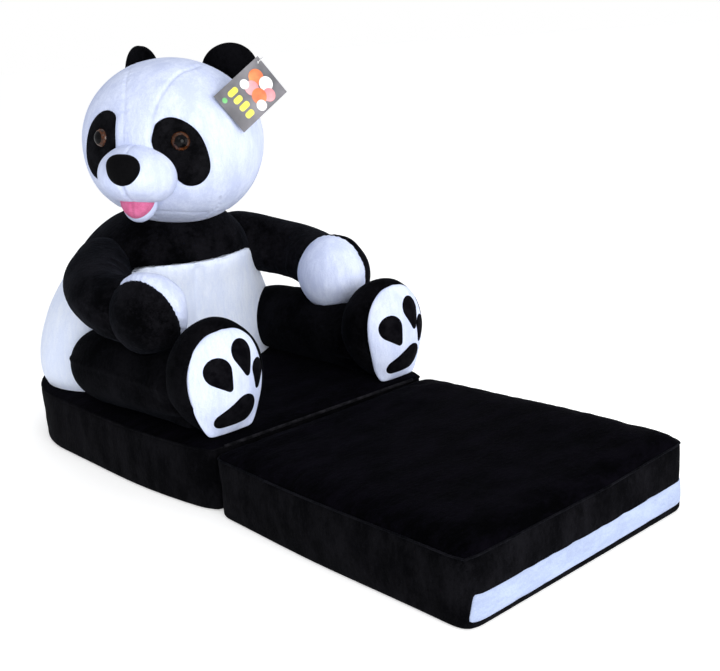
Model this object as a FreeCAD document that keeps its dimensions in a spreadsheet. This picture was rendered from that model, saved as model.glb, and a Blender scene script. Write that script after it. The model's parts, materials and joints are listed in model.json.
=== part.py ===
import FreeCAD, Part

import math
import os

import Sketcher
from FreeCAD import Placement, Rotation, Vector

# Child's fold-out plush armchair in the shape of a sitting panda, millimetres.
# Z is up from the floor, the panda faces -Y and +X is the panda's own left.
# The origin is on the floor, in the middle of the fold line between chair base and mat.
# Bodies: chair (root), mat, right_arm, left_arm, head and tag.

doc = FreeCAD.newDocument("plush_panda_chair")

# ------------------------------------------------------------------ driving dimensions
DIMENSIONS = [
    ("fabric", 2.0, "thickness of the pile fabric"),
    ("slack", 0.3, "gap between a cover and the stuffing inside it"),
    ("gap", 3.0, "running gap between bodies that move"),
    ("base_height", 95.0, "height of the chair base"),
    ("base_half_front", 212.0, "half width of the base at the fold"),
    ("base_half_width", 236.0, "largest half width of the base"),
    ("base_widest_y", 250.0, "where the base reaches its largest width"),
    ("base_back_y", 655.0, "rear end of the base"),
    ("base_front_radius", 30.0, "radius of the front corners of the base"),
    ("base_back_radius", 200.0, "radius of the rear corners of the base"),
    ("fold_gap", 4.0, "distance of base and of mat from the fold line"),
    ("tongue_half_width", 180.0, "half width of the fabric tongue under the fold"),
    ("mat_half_width", 210.0, "half width of the mat"),
    ("mat_end", 479.0, "distance from the fold line to the end of the mat"),
    ("mat_height", 92.0, "height of the mat"),
    ("mat_radius", 16.0, "radius of the upright mat corners"),
    ("stripe_low", 13.0, "lower edge of the white stripe"),
    ("stripe_high", 45.0, "upper edge of the white stripe"),
    ("stripe_proud", 1.0, "how far the stripe stands out of the end face"),
    ("colour_line", 301.0, "height where the white belly meets the black chest"),
    ("leg_x_foot", 160.0, "side position of the foot"),
    ("leg_x_thigh", 172.0, "side position of the thigh"),
    ("foot_front", 4.0, "front plane of the foot"),
    ("foot_half_width", 76.0, "largest half width of the foot"),
    ("foot_half_height", 87.0, "largest half height of the foot"),
    ("ankle_radius", 47.0, "thinnest radius of the leg"),
    ("thigh_radius", 61.0, "thickest radius of the thigh"),
    ("sole_half_width", 62.0, "half width of the sole"),
    ("sole_half_height", 75.0, "half height of the sole"),
    ("sole_thick", 2.5, "thickness of the padded sole"),
    ("pad_thick", 2.0, "thickness of a toe or heel pad"),
    ("toe_radius", 19.0, "round end of the two larger toe pads"),
    ("toe_tip", 34.0, "centre of the round end to the tip of a larger toe pad"),
    ("side_toe_radius", 15.0, "round end of the outer toe pad"),
    ("side_toe_tip", 30.0, "centre of the round end to the tip of the outer toe pad"),
    ("heel_radius", 20.0, "round end of the heel pad"),
    ("heel_tip", 54.0, "centre of the round end to the tip of the heel pad"),
    ("shoulder_x", 140.0, "side position of the shoulder pivot"),
    ("shoulder_y", 385.0, "depth of the shoulder pivot"),
    ("shoulder_z", 305.0, "height of the shoulder pivot"),
    ("shoulder_radius", 52.0, "radius of the arm root"),
    ("sleeve_radius", 50.0, "radius of the arm"),
    ("hand_half_x", 54.0, "half width of the hand"),
    ("hand_half_y", 58.0, "half length of the hand"),
    ("hand_half_z", 60.0, "half height of the hand"),
    ("arm_open", 50.0, "largest opening angle of an arm"),
    ("head_y", 344.0, "depth of the head centre"),
    ("head_z", 495.0, "height of the head centre"),
    ("head_half_width", 150.0, "half width of the head"),
    ("head_half_height", 140.0, "half height of the head"),
    ("head_yaw", 56.0, "how far the head is turned to the panda's right"),
    ("head_tilt_back", 6.7, "how far the face looks up"),
    ("head_lean", 4.9, "how far the head leans to its own left"),
    ("muzzle_y", 128.0, "muzzle centre in front of the head centre"),
    ("muzzle_drop", 50.0, "muzzle centre below the head centre"),
    ("muzzle_half_width", 66.0, "half width of the muzzle"),
    ("muzzle_half_depth", 60.0, "half depth of the muzzle"),
    ("muzzle_half_height", 48.0, "half height of the muzzle"),
    ("nose_half_width", 28.0, "half width of the nose pad"),
    ("nose_half_depth", 14.0, "half depth of the nose pad"),
    ("nose_half_height", 26.0, "half height of the nose pad"),
    ("patch_half_width", 42.0, "half width of an eye patch"),
    ("patch_half_height", 52.0, "half height of an eye patch"),
    ("eye_radius", 15.0, "radius of an eye"),
    ("eye_bulge", 9.0, "how far an eye stands out of its patch"),
    ("stem_radius", 3.0, "radius of the eye stem"),
    ("stem_length", 16.0, "length of the eye stem behind the patch"),
    ("washer_radius", 12.0, "radius of the washer on the eye stem"),
    ("washer_thick", 2.0, "thickness of the washer"),
    ("lip_half_width", 31.0, "half width of the lower lip"),
    ("tongue_half_x", 26.0, "half width of the tongue in the mouth"),
    ("ear_half_width", 50.0, "half width of an ear"),
    ("ear_half_depth", 15.0, "half thickness of an ear"),
    ("ear_half_height", 46.0, "half height of an ear"),
    ("ear_x", 82.0, "side position of an ear on the head"),
    ("ear_y", 38.0, "how far an ear sits behind the head centre"),
    ("ear_z", 120.0, "height of an ear above the head centre"),
    ("ear_turn", 33.0, "how far the ear faces turn outwards"),
    ("tag_width", 72.0, "width of the hang tag"),
    ("tag_height", 104.0, "height of the hang tag"),
    ("tag_thick", 0.8, "thickness of the hang tag"),
    ("tag_hole_radius", 2.4, "radius of the hole in the hang tag"),
    ("tag_hole_in", 7.0, "hole centre from the side and top edges of the tag"),
    ("wire_radius", 0.6, "radius of the plastic tag loop"),
    ("loop_half_length", 44.0, "half length of the tag loop"),
    ("loop_half_width", 6.0, "half width of the tag loop"),
    ("loop_front", 7.5, "how far the loop passes in front of the tag"),
]

sheet = doc.addObject("Spreadsheet::Sheet", "Dims")
for row, (alias, size, meaning) in enumerate(DIMENSIONS, start=1):
    sheet.set("A%d" % row, alias)
    sheet.set("B%d" % row, str(size))
    sheet.set("C%d" % row, meaning)
    sheet.setAlias("B%d" % row, alias)
doc.recompute()

SIZE = {alias: float(sheet.get(alias)) for alias, size, meaning in DIMENSIONS}

HELD = []


# ------------------------------------------------------------------ small helpers
def bind(thing, **formulas):
    """Tie properties of an object to formulas on the sheet."""
    for name, formula in formulas.items():
        thing.setExpression(name, formula)
    return thing


def at(x, y, z, turn=None):
    """Placement at a point, turned or not."""
    return Placement(Vector(x, y, z), turn or Rotation())


def ellipsoid(name, half_x, half_y, half_z, place):
    solid = doc.addObject("Part::Ellipsoid", name)
    bind(solid, Radius2=half_x, Radius3=half_y, Radius1=half_z)
    solid.Placement = place
    return solid


def ball(name, radius, place):
    solid = doc.addObject("Part::Sphere", name)
    bind(solid, Radius=radius)
    solid.Placement = place
    return solid


def cylinder(name, radius, length, place):
    solid = doc.addObject("Part::Cylinder", name)
    bind(solid, Radius=radius, Height=length)
    solid.Placement = place
    return solid


def box(name, length, width, height, place):
    solid = doc.addObject("Part::Box", name)
    bind(solid, Length=length, Width=width, Height=height)
    solid.Placement = place
    return solid


def cut(name, base, *tools):
    """Base with every tool taken away in turn."""
    result = base
    for number, tool in enumerate(tools):
        step = doc.addObject("Part::Cut", name if number == len(tools) - 1 else name + "_less%d" % number)
        step.Base = result
        step.Tool = tool
        result = step
    return result


def common(name, one, other):
    result = doc.addObject("Part::Common", name)
    result.Base = one
    result.Tool = other
    return result


def fuse(name, *solids):
    result = doc.addObject("Part::MultiFuse", name)
    result.Shapes = list(solids)
    return result


def loft(name, stations):
    """Smooth solid through elliptical stations: (half major, half minor, placement)."""
    rings = []
    for number, (major, minor, place) in enumerate(stations):
        ring = doc.addObject("Part::Ellipse", "%s_ring%d" % (name, number))
        bind(ring, MajorRadius=major, MinorRadius=minor)
        ring.Placement = place
        rings.append(ring)
    skin = doc.addObject("Part::Loft", name)
    skin.Sections = rings
    skin.Solid = True
    skin.Ruled = False
    return skin


def keep(part):
    """Mark an object as a sub-part that gets its own file."""
    HELD.append(part)
    return part


def origin_plane(body, role):
    return [item for item in body.Origin.OriginFeatures if item.Role == role][0]


def evaluate(formula):
    """Value of a sheet formula, through a throw-away property."""
    probe = doc.addObject("App::FeaturePython", "probe")
    probe.addProperty("App::PropertyFloat", "result")
    probe.setExpression("result", formula)
    probe.recompute()
    value = probe.result
    doc.removeObject(probe.Name)
    return value


def prism(name, corners, low, height, rounds=()):
    """Upright slab from a polygon of sheet formulas, with chosen upright edges rounded."""
    body = doc.addObject("PartDesign::Body", name)
    outline = body.newObject("Sketcher::SketchObject", name + "_outline")
    outline.AttachmentSupport = (origin_plane(body, "XY_Plane"), [""])
    outline.MapMode = "FlatFace"
    points = [(evaluate(x), evaluate(y)) for x, y in corners]
    count = len(points)
    for number, start in enumerate(points):
        end = points[(number + 1) % count]
        outline.addGeometry(Part.LineSegment(Vector(*start, 0), Vector(*end, 0)), False)
    for number in range(count):
        outline.addConstraint(Sketcher.Constraint("Coincident", number, 2, (number + 1) % count, 1))
    for number, formulas in enumerate(corners):
        for kind, value, formula in zip(("DistanceX", "DistanceY"), points[number], formulas):
            place = outline.addConstraint(Sketcher.Constraint(kind, -1, 1, number, 1, value))
            outline.setExpression("Constraints[%d]" % place, formula)
    pad = body.newObject("PartDesign::Pad", name + "_slab")
    pad.Profile = outline
    bind(pad, Length=height)
    doc.recompute()
    tip = pad
    for number, (radius, chosen) in enumerate(rounds):
        edges = []
        for index, edge in enumerate(tip.Shape.Edges, start=1):
            ends = [vertex.Point for vertex in edge.Vertexes]
            upright = len(ends) == 2 and (ends[0] - ends[1]).cross(Vector(0, 0, 1)).Length < 1e-6
            if upright and any((Vector(*points[k], ends[0].z) - ends[0]).Length < 1e-3 for k in chosen):
                edges.append("Edge%d" % index)
        fillet = body.newObject("PartDesign::Fillet", "%s_round%d" % (name, number))
        fillet.Base = (tip, edges)
        bind(fillet, Radius=radius)
        doc.recompute()
        tip = fillet
    body.Tip = tip
    bind(body, **{"Placement.Base.z": low})
    return body


def teardrop(name, radius, tip_distance, thickness, place):
    """Flat pad with a round end at the origin and a pointed tip on +X."""
    round_end = evaluate(radius)
    tip = evaluate(tip_distance)
    touch_x = round_end * round_end / tip
    touch_y = (round_end * round_end - touch_x * touch_x) ** 0.5
    body = doc.addObject("PartDesign::Body", name)
    outline = body.newObject("Sketcher::SketchObject", name + "_outline")
    outline.AttachmentSupport = (origin_plane(body, "XY_Plane"), [""])
    outline.MapMode = "FlatFace"
    upper = Vector(touch_x, touch_y, 0)
    lower = Vector(touch_x, -touch_y, 0)
    point = Vector(tip, 0, 0)
    outline.addGeometry(Part.Arc(upper, Vector(-round_end, 0, 0), lower), False)
    outline.addGeometry(Part.LineSegment(lower, point), False)
    outline.addGeometry(Part.LineSegment(point, upper), False)
    outline.addConstraint(Sketcher.Constraint("Coincident", 0, 3, -1, 1))
    outline.addConstraint(Sketcher.Constraint("Tangent", 0, 2, 1, 1))
    outline.addConstraint(Sketcher.Constraint("Coincident", 1, 2, 2, 1))
    outline.addConstraint(Sketcher.Constraint("Tangent", 2, 2, 0, 1))
    outline.addConstraint(Sketcher.Constraint("PointOnObject", 1, 2, -1))
    size = outline.addConstraint(Sketcher.Constraint("Radius", 0, round_end))
    outline.setExpression("Constraints[%d]" % size, radius)
    reach = outline.addConstraint(Sketcher.Constraint("DistanceX", -1, 1, 1, 2, tip))
    outline.setExpression("Constraints[%d]" % reach, tip_distance)
    pad = body.newObject("PartDesign::Pad", name + "_slab")
    pad.Profile = outline
    bind(pad, Length=thickness)
    body.Tip = pad
    body.Placement = place
    return body


# ------------------------------------------------------------------ chair base
def base_corners(inset):
    """Outline of the base, moved inwards by a formula."""
    front = "Dims.fold_gap + %s" % inset
    back = "Dims.base_back_y - (%s)" % inset
    narrow = "Dims.base_half_front - (%s)" % inset
    wide = "Dims.base_half_width - (%s)" % inset
    return [
        ("-(%s)" % narrow, front),
        (narrow, front),
        (wide, "Dims.base_widest_y"),
        (wide, back),
        ("-(%s)" % wide, back),
        ("-(%s)" % wide, "Dims.base_widest_y"),
    ]


def base_slab(name, inset, low, height):
    rounds = [
        ("Dims.base_front_radius - (%s)" % inset, (0, 1)),
        ("Dims.base_back_radius - (%s)" % inset, (3, 4)),
    ]
    return prism(name, base_corners(inset), low, height, rounds)


BAND = "Dims.base_height - 2 * Dims.fabric"
base_plate = base_slab("base_plate", "0", "0", "Dims.fabric")
tongue = box("fold_tongue", "2 * Dims.tongue_half_width", "Dims.fold_gap + 30", "Dims.fabric", at(0, 0, 0))
bind(tongue, **{"Placement.Base.x": "-Dims.tongue_half_width", "Placement.Base.y": "-Dims.fold_gap / 2"})
keep(fuse("base_bottom_panel", base_plate, tongue))
base_outer = base_slab("base_outer", "0", "Dims.fabric", BAND)
base_core = base_slab("base_core", "Dims.fabric", "Dims.fabric", BAND)
keep(cut("base_side_band", base_outer, base_core))
keep(base_slab("base_foam", "Dims.fabric + Dims.slack", "Dims.fabric", BAND))
keep(base_slab("base_top_panel", "0", "Dims.base_height - Dims.fabric", "Dims.fabric"))


# ------------------------------------------------------------------ mat
def mat_slab(name, inset, low, height):
    half = "Dims.mat_half_width - (%s)" % inset
    far = "-(Dims.mat_end - (%s))" % inset
    near = "-(Dims.fold_gap + %s)" % inset
    corners = [("-(%s)" % half, far), (half, far), (half, near), ("-(%s)" % half, near)]
    rounds = [("Dims.mat_radius - (%s)" % inset, (0, 1, 2, 3))]
    return prism(name, corners, low, height, rounds)


MAT_BAND = "Dims.mat_height - 2 * Dims.fabric"
keep(mat_slab("mat_bottom_panel", "0", "0", "Dims.fabric"))
keep(mat_slab("mat_top_panel", "0", "Dims.mat_height - Dims.fabric", "Dims.fabric"))
keep(mat_slab("mat_foam", "Dims.fabric + Dims.slack", "Dims.fabric", MAT_BAND))
mat_outer = mat_slab("mat_outer", "0", "Dims.fabric", MAT_BAND)
mat_core = mat_slab("mat_core", "Dims.fabric", "Dims.fabric", MAT_BAND)
mat_ring = cut("mat_ring", mat_outer, mat_core)
stripe = box(
    "mat_end_stripe",
    "2 * (Dims.mat_half_width - Dims.mat_radius)",
    "Dims.stripe_proud + Dims.fabric / 2",
    "Dims.stripe_high - Dims.stripe_low",
    at(0, 0, 0),
)
bind(stripe, **{
    "Placement.Base.x": "-(Dims.mat_half_width - Dims.mat_radius)",
    "Placement.Base.y": "-(Dims.mat_end + Dims.stripe_proud)",
    "Placement.Base.z": "Dims.stripe_low",
})
keep(stripe)
keep(cut("mat_side_band", mat_ring, stripe))

# ------------------------------------------------------------------ head frame
HEAD = Placement(
    Vector(0, SIZE["head_y"], SIZE["head_z"]),
    Rotation(Vector(0, 0, 1), -SIZE["head_yaw"])
    * Rotation(Vector(1, 0, 0), -SIZE["head_tilt_back"])
    * Rotation(Vector(0, 1, 0), SIZE["head_lean"]),
)


def on_head(x, y, z, turn=None):
    """Placement given in the head's own frame, face towards -Y."""
    return HEAD * at(x, y, z, turn)


def oval(name, half_x, half_y, half_z, place):
    """Ellipsoid as rings at even angles, for the widest axis along X."""
    tall = evaluate(half_z)
    rings = []
    for angle in range(-84, 85, 21):
        share = "cos(%d deg)" % angle
        level = place * at(0, 0, tall * math.sin(math.radians(angle)))
        rings.append(("(%s) * %s" % (half_x, share), "(%s) * %s" % (half_y, share), level))
    return loft(name, rings)


def head_shape(name, grow):
    half_width = "Dims.head_half_width + (%s)" % grow
    half_height = "Dims.head_half_height + (%s)" % grow
    return oval(name, half_width, half_width, half_height, HEAD)


# ------------------------------------------------------------------ legs
# Stations from sole to seat: distance from the fold line, share of the side move from
# foot to thigh, half width, half height.
LEG_STATIONS = [
    ("0", 0.00, "Dims.foot_half_width - 12", "Dims.foot_half_height - 9"),
    ("10", 0.00, "Dims.foot_half_width - 5", "Dims.foot_half_height - 2"),
    ("50", 0.00, "Dims.foot_half_width", "Dims.foot_half_height"),
    ("86", 0.10, "Dims.foot_half_width - 7", "Dims.foot_half_height - 11"),
    ("116", 0.30, "Dims.ankle_radius + 10", "Dims.ankle_radius + 12"),
    ("150", 0.50, "Dims.ankle_radius", "Dims.ankle_radius"),
    ("226", 0.80, "Dims.thigh_radius - 7", "Dims.thigh_radius - 7"),
    ("310", 1.00, "Dims.thigh_radius", "Dims.thigh_radius"),
    ("362", 1.00, "Dims.thigh_radius - 7", "Dims.thigh_radius - 7"),
    ("392", 1.00, "Dims.thigh_radius - 26", "Dims.thigh_radius - 26"),
]
FACE_FRONT = Rotation(Vector(0, 0, 1), Vector(1, 0, 0), Vector(0, 1, 0), "XYZ")


def leg_shape(name, side, grow):
    """Leg from the flat foot end to the thigh, lying on the base."""
    stations = []
    last = len(LEG_STATIONS) - 1
    for number, (run, share, half_width, half_height) in enumerate(LEG_STATIONS):
        shift = grow * ((number == last) - (number == 0))
        x = SIZE["leg_x_foot"] + share * (SIZE["leg_x_thigh"] - SIZE["leg_x_foot"])
        tall = evaluate(half_height)
        seat = tall if number < last - 1 else SIZE["thigh_radius"]
        place = at(side * x, SIZE["foot_front"] + float(run) + shift, SIZE["base_height"] + 1 + seat, FACE_FRONT)
        stations.append(("%s + %s" % (half_height, grow), "%s + %s" % (half_width, grow), place))
    return loft(name, stations)


SOLE_Z = SIZE["base_height"] + 1 + SIZE["foot_half_height"]
# Pads on a sole: across, up, direction of the tip in degrees, size name.
PADS = [
    ("toe_pad_low", -22, 22, -65, "toe"),
    ("toe_pad_top", 22, 43, -87, "toe"),
    ("toe_pad_side", 45, 6, -108, "side_toe"),
    ("heel_pad", 15, -42, 190, "heel"),
]

for word, side in (("right", -1), ("left", 1)):
    leg_outer = leg_shape(word + "_leg_outer", side, 0)
    leg_inner = leg_shape(word + "_leg_inner", side, -SIZE["fabric"])
    keep(cut(word + "_leg_cover", leg_outer, leg_inner))
    keep(leg_shape(word + "_leg_stuffing", side, -(SIZE["fabric"] + SIZE["slack"])))
    front = SIZE["foot_front"]
    sole = loft(word + "_sole", [
        ("Dims.sole_half_height - 2", "Dims.sole_half_width - 2",
         at(side * SIZE["leg_x_foot"], front - SIZE["sole_thick"], SOLE_Z, FACE_FRONT)),
        ("Dims.sole_half_height", "Dims.sole_half_width",
         at(side * SIZE["leg_x_foot"], front, SOLE_Z, FACE_FRONT)),
    ])
    keep(sole)
    for pad_name, across, up, tip, kind in PADS:
        flat = Rotation(Vector(1, 0, 0), 90) * Rotation(Vector(0, 0, 1), tip)
        centre = at(side * SIZE["leg_x_foot"] + across, front - SIZE["sole_thick"], SOLE_Z + up, flat)
        keep(teardrop(
            "%s_%s" % (word, pad_name),
            "Dims.%s_radius" % kind,
            "Dims.%s_tip" % kind,
            "Dims.pad_thick",
            centre,
        ))

# ------------------------------------------------------------------ arms
# Way points of the arm, from the shoulder pivot: across, along, up, half width, half height.
ARM_PATH = [
    (0, 0, 0, "Dims.shoulder_radius", "Dims.shoulder_radius"),
    (38, -38, -12, "Dims.sleeve_radius + 1", "Dims.sleeve_radius + 1"),
    (60, -93, -33, "Dims.sleeve_radius", "Dims.sleeve_radius"),
    (57, -150, -46, "Dims.sleeve_radius + 1", "Dims.sleeve_radius + 2"),
    (42, -204, -51, "Dims.hand_half_x", "Dims.hand_half_z"),
]
HAND = Vector(*ARM_PATH[-1][:3])
END_ANGLES = (30, 55, 77)


def upright(point, heading):
    """Placement whose +Z runs along a heading and whose +X leans upwards."""
    up = (Vector(0, 0, 1) - heading * heading.z).normalize()
    return Placement(point, Rotation(up, heading.cross(up), heading, "XYZ"))


def arm_shape(name, side, grow):
    """Bent arm with a ball-like root at the shoulder and a rounded hand."""
    pivot = Vector(side * SIZE["shoulder_x"], SIZE["shoulder_y"], SIZE["shoulder_z"])
    points = [pivot + Vector(side * x, y, z) for x, y, z, wide, tall in ARM_PATH]
    first = (points[1] - points[0]).normalize()
    last = (points[-1] - points[-2]).normalize()
    stations = []
    for angle in reversed(END_ANGLES):
        reach = (SIZE["shoulder_radius"] + grow) * math.sin(math.radians(angle))
        radius = "(Dims.shoulder_radius + %s) * cos(%d deg)" % (grow, angle)
        stations.append((radius, radius, upright(points[0] - first * reach, first)))
    for number, (point, (x, y, z, wide, tall)) in enumerate(zip(points, ARM_PATH)):
        before = points[max(number - 1, 0)]
        after = points[min(number + 1, len(points) - 1)]
        place = upright(point, (after - before).normalize())
        stations.append(("%s + %s" % (tall, grow), "%s + %s" % (wide, grow), place))
    for angle in END_ANGLES:
        reach = (SIZE["hand_half_y"] + grow) * math.sin(math.radians(angle))
        tall = "(Dims.hand_half_z + %s) * cos(%d deg)" % (grow, angle)
        wide = "(Dims.hand_half_x + %s) * cos(%d deg)" % (grow, angle)
        stations.append((tall, wide, upright(points[-1] + last * reach, last)))
    return loft(name, stations)


def palm_zone(name, side, edge):
    """Half space over the inner front of a hand, shifted along its normal by edge."""
    pivot = Vector(side * SIZE["shoulder_x"], SIZE["shoulder_y"], SIZE["shoulder_z"])
    centre = pivot + Vector(side * HAND.x, HAND.y, HAND.z)
    normal = Vector(-side * 0.87, -0.5, 0)
    turn = Rotation(Vector(0, 0, 1), normal)
    corner = Placement(centre + normal * edge, turn) * at(-90, -90, 0)
    return box(name, "180", "180", "120", corner)


arm_tools = []
for word, side in (("right", -1), ("left", 1)):
    arm_outer = arm_shape(word + "_arm_outer", side, 0)
    arm_inner = arm_shape(word + "_arm_inner", side, -SIZE["fabric"])
    skin = cut(word + "_arm_skin", arm_outer, arm_inner)
    keep(cut(word + "_arm_cover", skin, palm_zone(word + "_palm_black", side, -0.1)))
    keep(common(word + "_palm_cover", skin, palm_zone(word + "_palm_white", side, 0.1)))
    keep(arm_shape(word + "_arm_stuffing", side, -(SIZE["fabric"] + SIZE["slack"])))
    pivot = Vector(side * SIZE["shoulder_x"], SIZE["shoulder_y"], SIZE["shoulder_z"])
    arm_tools.append(ball(word + "_socket", "Dims.shoulder_radius + Dims.gap", Placement(pivot, Rotation())))
    swing = Vector(-1, 0, side).normalize()
    reach = Vector(side * ARM_PATH[1][0], ARM_PATH[1][1], ARM_PATH[1][2])
    for number, part_way in enumerate((0.0, 0.5, 1.0)):
        heading = Rotation(swing, part_way * SIZE["arm_open"]).multVec(reach)
        arm_tools.append(cylinder(
            "%s_sweep%d" % (word, number),
            "Dims.shoulder_radius + Dims.gap",
            "130",
            Placement(pivot, Rotation(Vector(0, 0, 1), heading)),
        ))

# ------------------------------------------------------------------ torso
# Stations up the torso: height, half width, half depth, depth of the centre.
TORSO_STATIONS = [
    (96, 226, 172, 468),
    (150, 226, 172, 466),
    (200, 212, 165, 460),
    (250, 186, 154, 446),
    (300, 146, 139, 425),
    (345, 114, 110, 408),
    (378, 80, 74, 395),
]


def torso_shape(name, grow):
    stations = []
    last = len(TORSO_STATIONS) - 1
    for number, (height, half_width, half_depth, depth) in enumerate(TORSO_STATIONS):
        shift = grow * ((number == last) - (number == 0))
        stations.append(("%s + %s" % (half_width, grow), "%s + %s" % (half_depth, grow),
                         at(0, depth, height + shift)))
    return loft(name, stations)


leg_tools = [leg_shape(word + "_leg_room", side, 0.5) for word, side in (("right", -1), ("left", 1))]
room = fuse("torso_room", head_shape("head_room", "Dims.gap"), *arm_tools, *leg_tools)
torso_outer = torso_shape("torso_outer", 0)
torso_inner = torso_shape("torso_inner", -SIZE["fabric"])
torso_skin = cut("torso_skin", torso_outer, torso_inner, room)
above = box("above_line", "600", "600", "300", at(-300, 150, SIZE["colour_line"] + 0.1))
below = box("below_line", "600", "600", "300", at(-300, 150, SIZE["colour_line"] - 300.1))
keep(common("torso_black_cover", torso_skin, above))
keep(common("torso_white_cover", torso_skin, below))
torso_core = torso_shape("torso_core", -(SIZE["fabric"] + SIZE["slack"]))
keep(cut("torso_stuffing", torso_core, room))


# ------------------------------------------------------------------ head and face
def muzzle_shape(name, grow):
    return ellipsoid(
        name,
        "Dims.muzzle_half_width + (%s)" % grow,
        "Dims.muzzle_half_depth + (%s)" % grow,
        "Dims.muzzle_half_height + (%s)" % grow,
        on_head(0, -SIZE["muzzle_y"], -SIZE["muzzle_drop"]),
    )


def facing(yaw, pitch):
    """Head-frame rotation whose +Z points out of the face at a bearing, +Y staying up."""
    return Rotation(Vector(0, 0, 1), yaw) * Rotation(Vector(1, 0, 0), 90 - pitch)


head_outer = head_shape("head_outer", "0")
head_inner = head_shape("head_inner", "-Dims.fabric")
head_core = head_shape("head_core", "-Dims.fabric - Dims.slack")
head_seat = head_shape("head_seat", "Dims.slack")
muzzle_outer = muzzle_shape("muzzle_outer", "0")
muzzle_inner = muzzle_shape("muzzle_inner", "-Dims.fabric")
muzzle_core = muzzle_shape("muzzle_core", "-Dims.fabric - Dims.slack")
muzzle_seat = muzzle_shape("muzzle_seat", "Dims.slack")

keep(cut("muzzle_cover", muzzle_outer, muzzle_inner, head_seat))
keep(cut("muzzle_stuffing", muzzle_core, head_seat))
nose = oval(
    "nose_solid", "Dims.nose_half_width", "Dims.nose_half_depth", "Dims.nose_half_height",
    on_head(0, -(SIZE["muzzle_y"] + SIZE["muzzle_half_depth"] - 5), -44),
)
keep(cut("nose_pad", nose, muzzle_seat))

tongue_outer = ellipsoid("tongue_solid", "Dims.tongue_half_x", "22", "29", on_head(0, -133, -95))
tongue_seat = ellipsoid("tongue_seat", "Dims.tongue_half_x + Dims.slack", "22.3", "29.3", on_head(0, -133, -95))
lip_outer = ellipsoid("lip_solid", "Dims.lip_half_width", "27", "34", on_head(0, -122, -96))
keep(cut("tongue", tongue_outer, muzzle_seat, head_seat))
keep(cut("lower_lip", lip_outer, muzzle_seat, head_seat, tongue_seat))

patch_shell = cut(
    "patch_shell",
    head_shape("patch_outside", "Dims.slack + Dims.fabric"),
    head_shape("patch_inside", "Dims.slack"),
)
stem_tools = []
washer_tools = []
for word, side in (("right", -1), ("left", 1)):
    # Patch: an upright oval leaning outwards at the bottom.
    lean = Rotation(Vector(0, 0, 1), side * 24)
    zone = loft(word + "_patch_zone", [
        ("Dims.patch_half_height", "Dims.patch_half_width",
         on_head(0, 0, 0, facing(side * 30, -5)) * at(0, 0, depth, lean * Rotation(Vector(0, 0, 1), 90)))
        for depth in (100, 170)
    ])
    patch = common(word + "_patch_whole", patch_shell, zone)

    eye_line = on_head(0, 0, 0, facing(side * 28, 0))
    surface = SIZE["head_half_width"] + SIZE["slack"] + SIZE["fabric"]
    # Dome of the eye: a cap of a larger ball, so that it is rim-wide at the patch.
    cap_radius = (SIZE["eye_radius"] ** 2 + SIZE["eye_bulge"] ** 2) / (2 * SIZE["eye_bulge"])
    whole_cap = ball(
        word + "_eye_ball",
        "(Dims.eye_radius ^ 2 + Dims.eye_bulge ^ 2) / (2 * Dims.eye_bulge)",
        eye_line * at(0, 0, surface + SIZE["slack"] + SIZE["eye_bulge"] - cap_radius),
    )
    front_room = box(word + "_eye_front", "60", "60", "40", eye_line * at(-30, -30, surface + SIZE["slack"]))
    dome = common(word + "_eye_dome", whole_cap, front_room)
    stem = cylinder(
        word + "_eye_stem", "Dims.stem_radius", "Dims.stem_length + Dims.slack + 1",
        eye_line * at(0, 0, surface - SIZE["stem_length"]),
    )
    keep(fuse(word + "_eye", dome, stem))
    bore = cylinder(word + "_stem_bore", "Dims.stem_radius + Dims.slack", "60",
                    eye_line * at(0, 0, surface - SIZE["stem_length"] - 1))
    stem_tools.append(bore)
    keep(cut(word + "_eye_patch", patch, bore, muzzle_seat))

    washer_low = surface - SIZE["stem_length"] + 4
    washer = cylinder(word + "_washer_disc", "Dims.washer_radius", "Dims.washer_thick",
                      eye_line * at(0, 0, washer_low))
    keep(cut(word + "_eye_washer", washer, bore))
    washer_tools.append(cylinder(word + "_washer_room", "Dims.washer_radius + Dims.slack",
                                 "Dims.washer_thick + 2 * Dims.slack",
                                 eye_line * at(0, 0, washer_low - SIZE["slack"])))

keep(cut("head_cover", head_outer, head_inner, *stem_tools))
keep(cut("head_stuffing", head_core, *stem_tools, *washer_tools))


def ear_shape(name, side, grow):
    return ellipsoid(
        name,
        "Dims.ear_half_width + (%s)" % grow,
        "Dims.ear_half_depth + (%s)" % grow,
        "Dims.ear_half_height + (%s)" % grow,
        on_head(side * SIZE["ear_x"], SIZE["ear_y"], SIZE["ear_z"],
                Rotation(Vector(0, 0, 1), side * SIZE["ear_turn"])),
    )


# The tag hangs by its upper corner beside the left ear; X runs along its top edge,
# Y up its side, Z out of its printed face.
TAG_CORNER = Vector(150.7, -22.8, 138.3)
TAG_RIGHT = Vector(0.587, 0.338, -0.735)
TAG_UP = Vector(0.453, 0.615, 0.645)
TAG = HEAD * Placement(TAG_CORNER, Rotation(TAG_RIGHT, TAG_UP, TAG_RIGHT.cross(TAG_UP), "XYZ"))

hole_x = SIZE["tag_hole_in"]
bend = SIZE["loop_half_width"]
strand_start = SIZE["loop_front"] - bend
strand_end = strand_start - 2 * (SIZE["loop_half_length"] - bend)
# Slot in the filling of the left ear for the stitched end of the tag loop.
room = SIZE["wire_radius"] + SIZE["slack"]
loop_slot = box("loop_slot", "2 * (Dims.wire_radius + Dims.slack)",
                "2 * (Dims.loop_half_width + Dims.wire_radius + Dims.slack)", "Dims.loop_half_length",
                TAG * at(hole_x - room, -hole_x - room, strand_end - bend - room))

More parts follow.
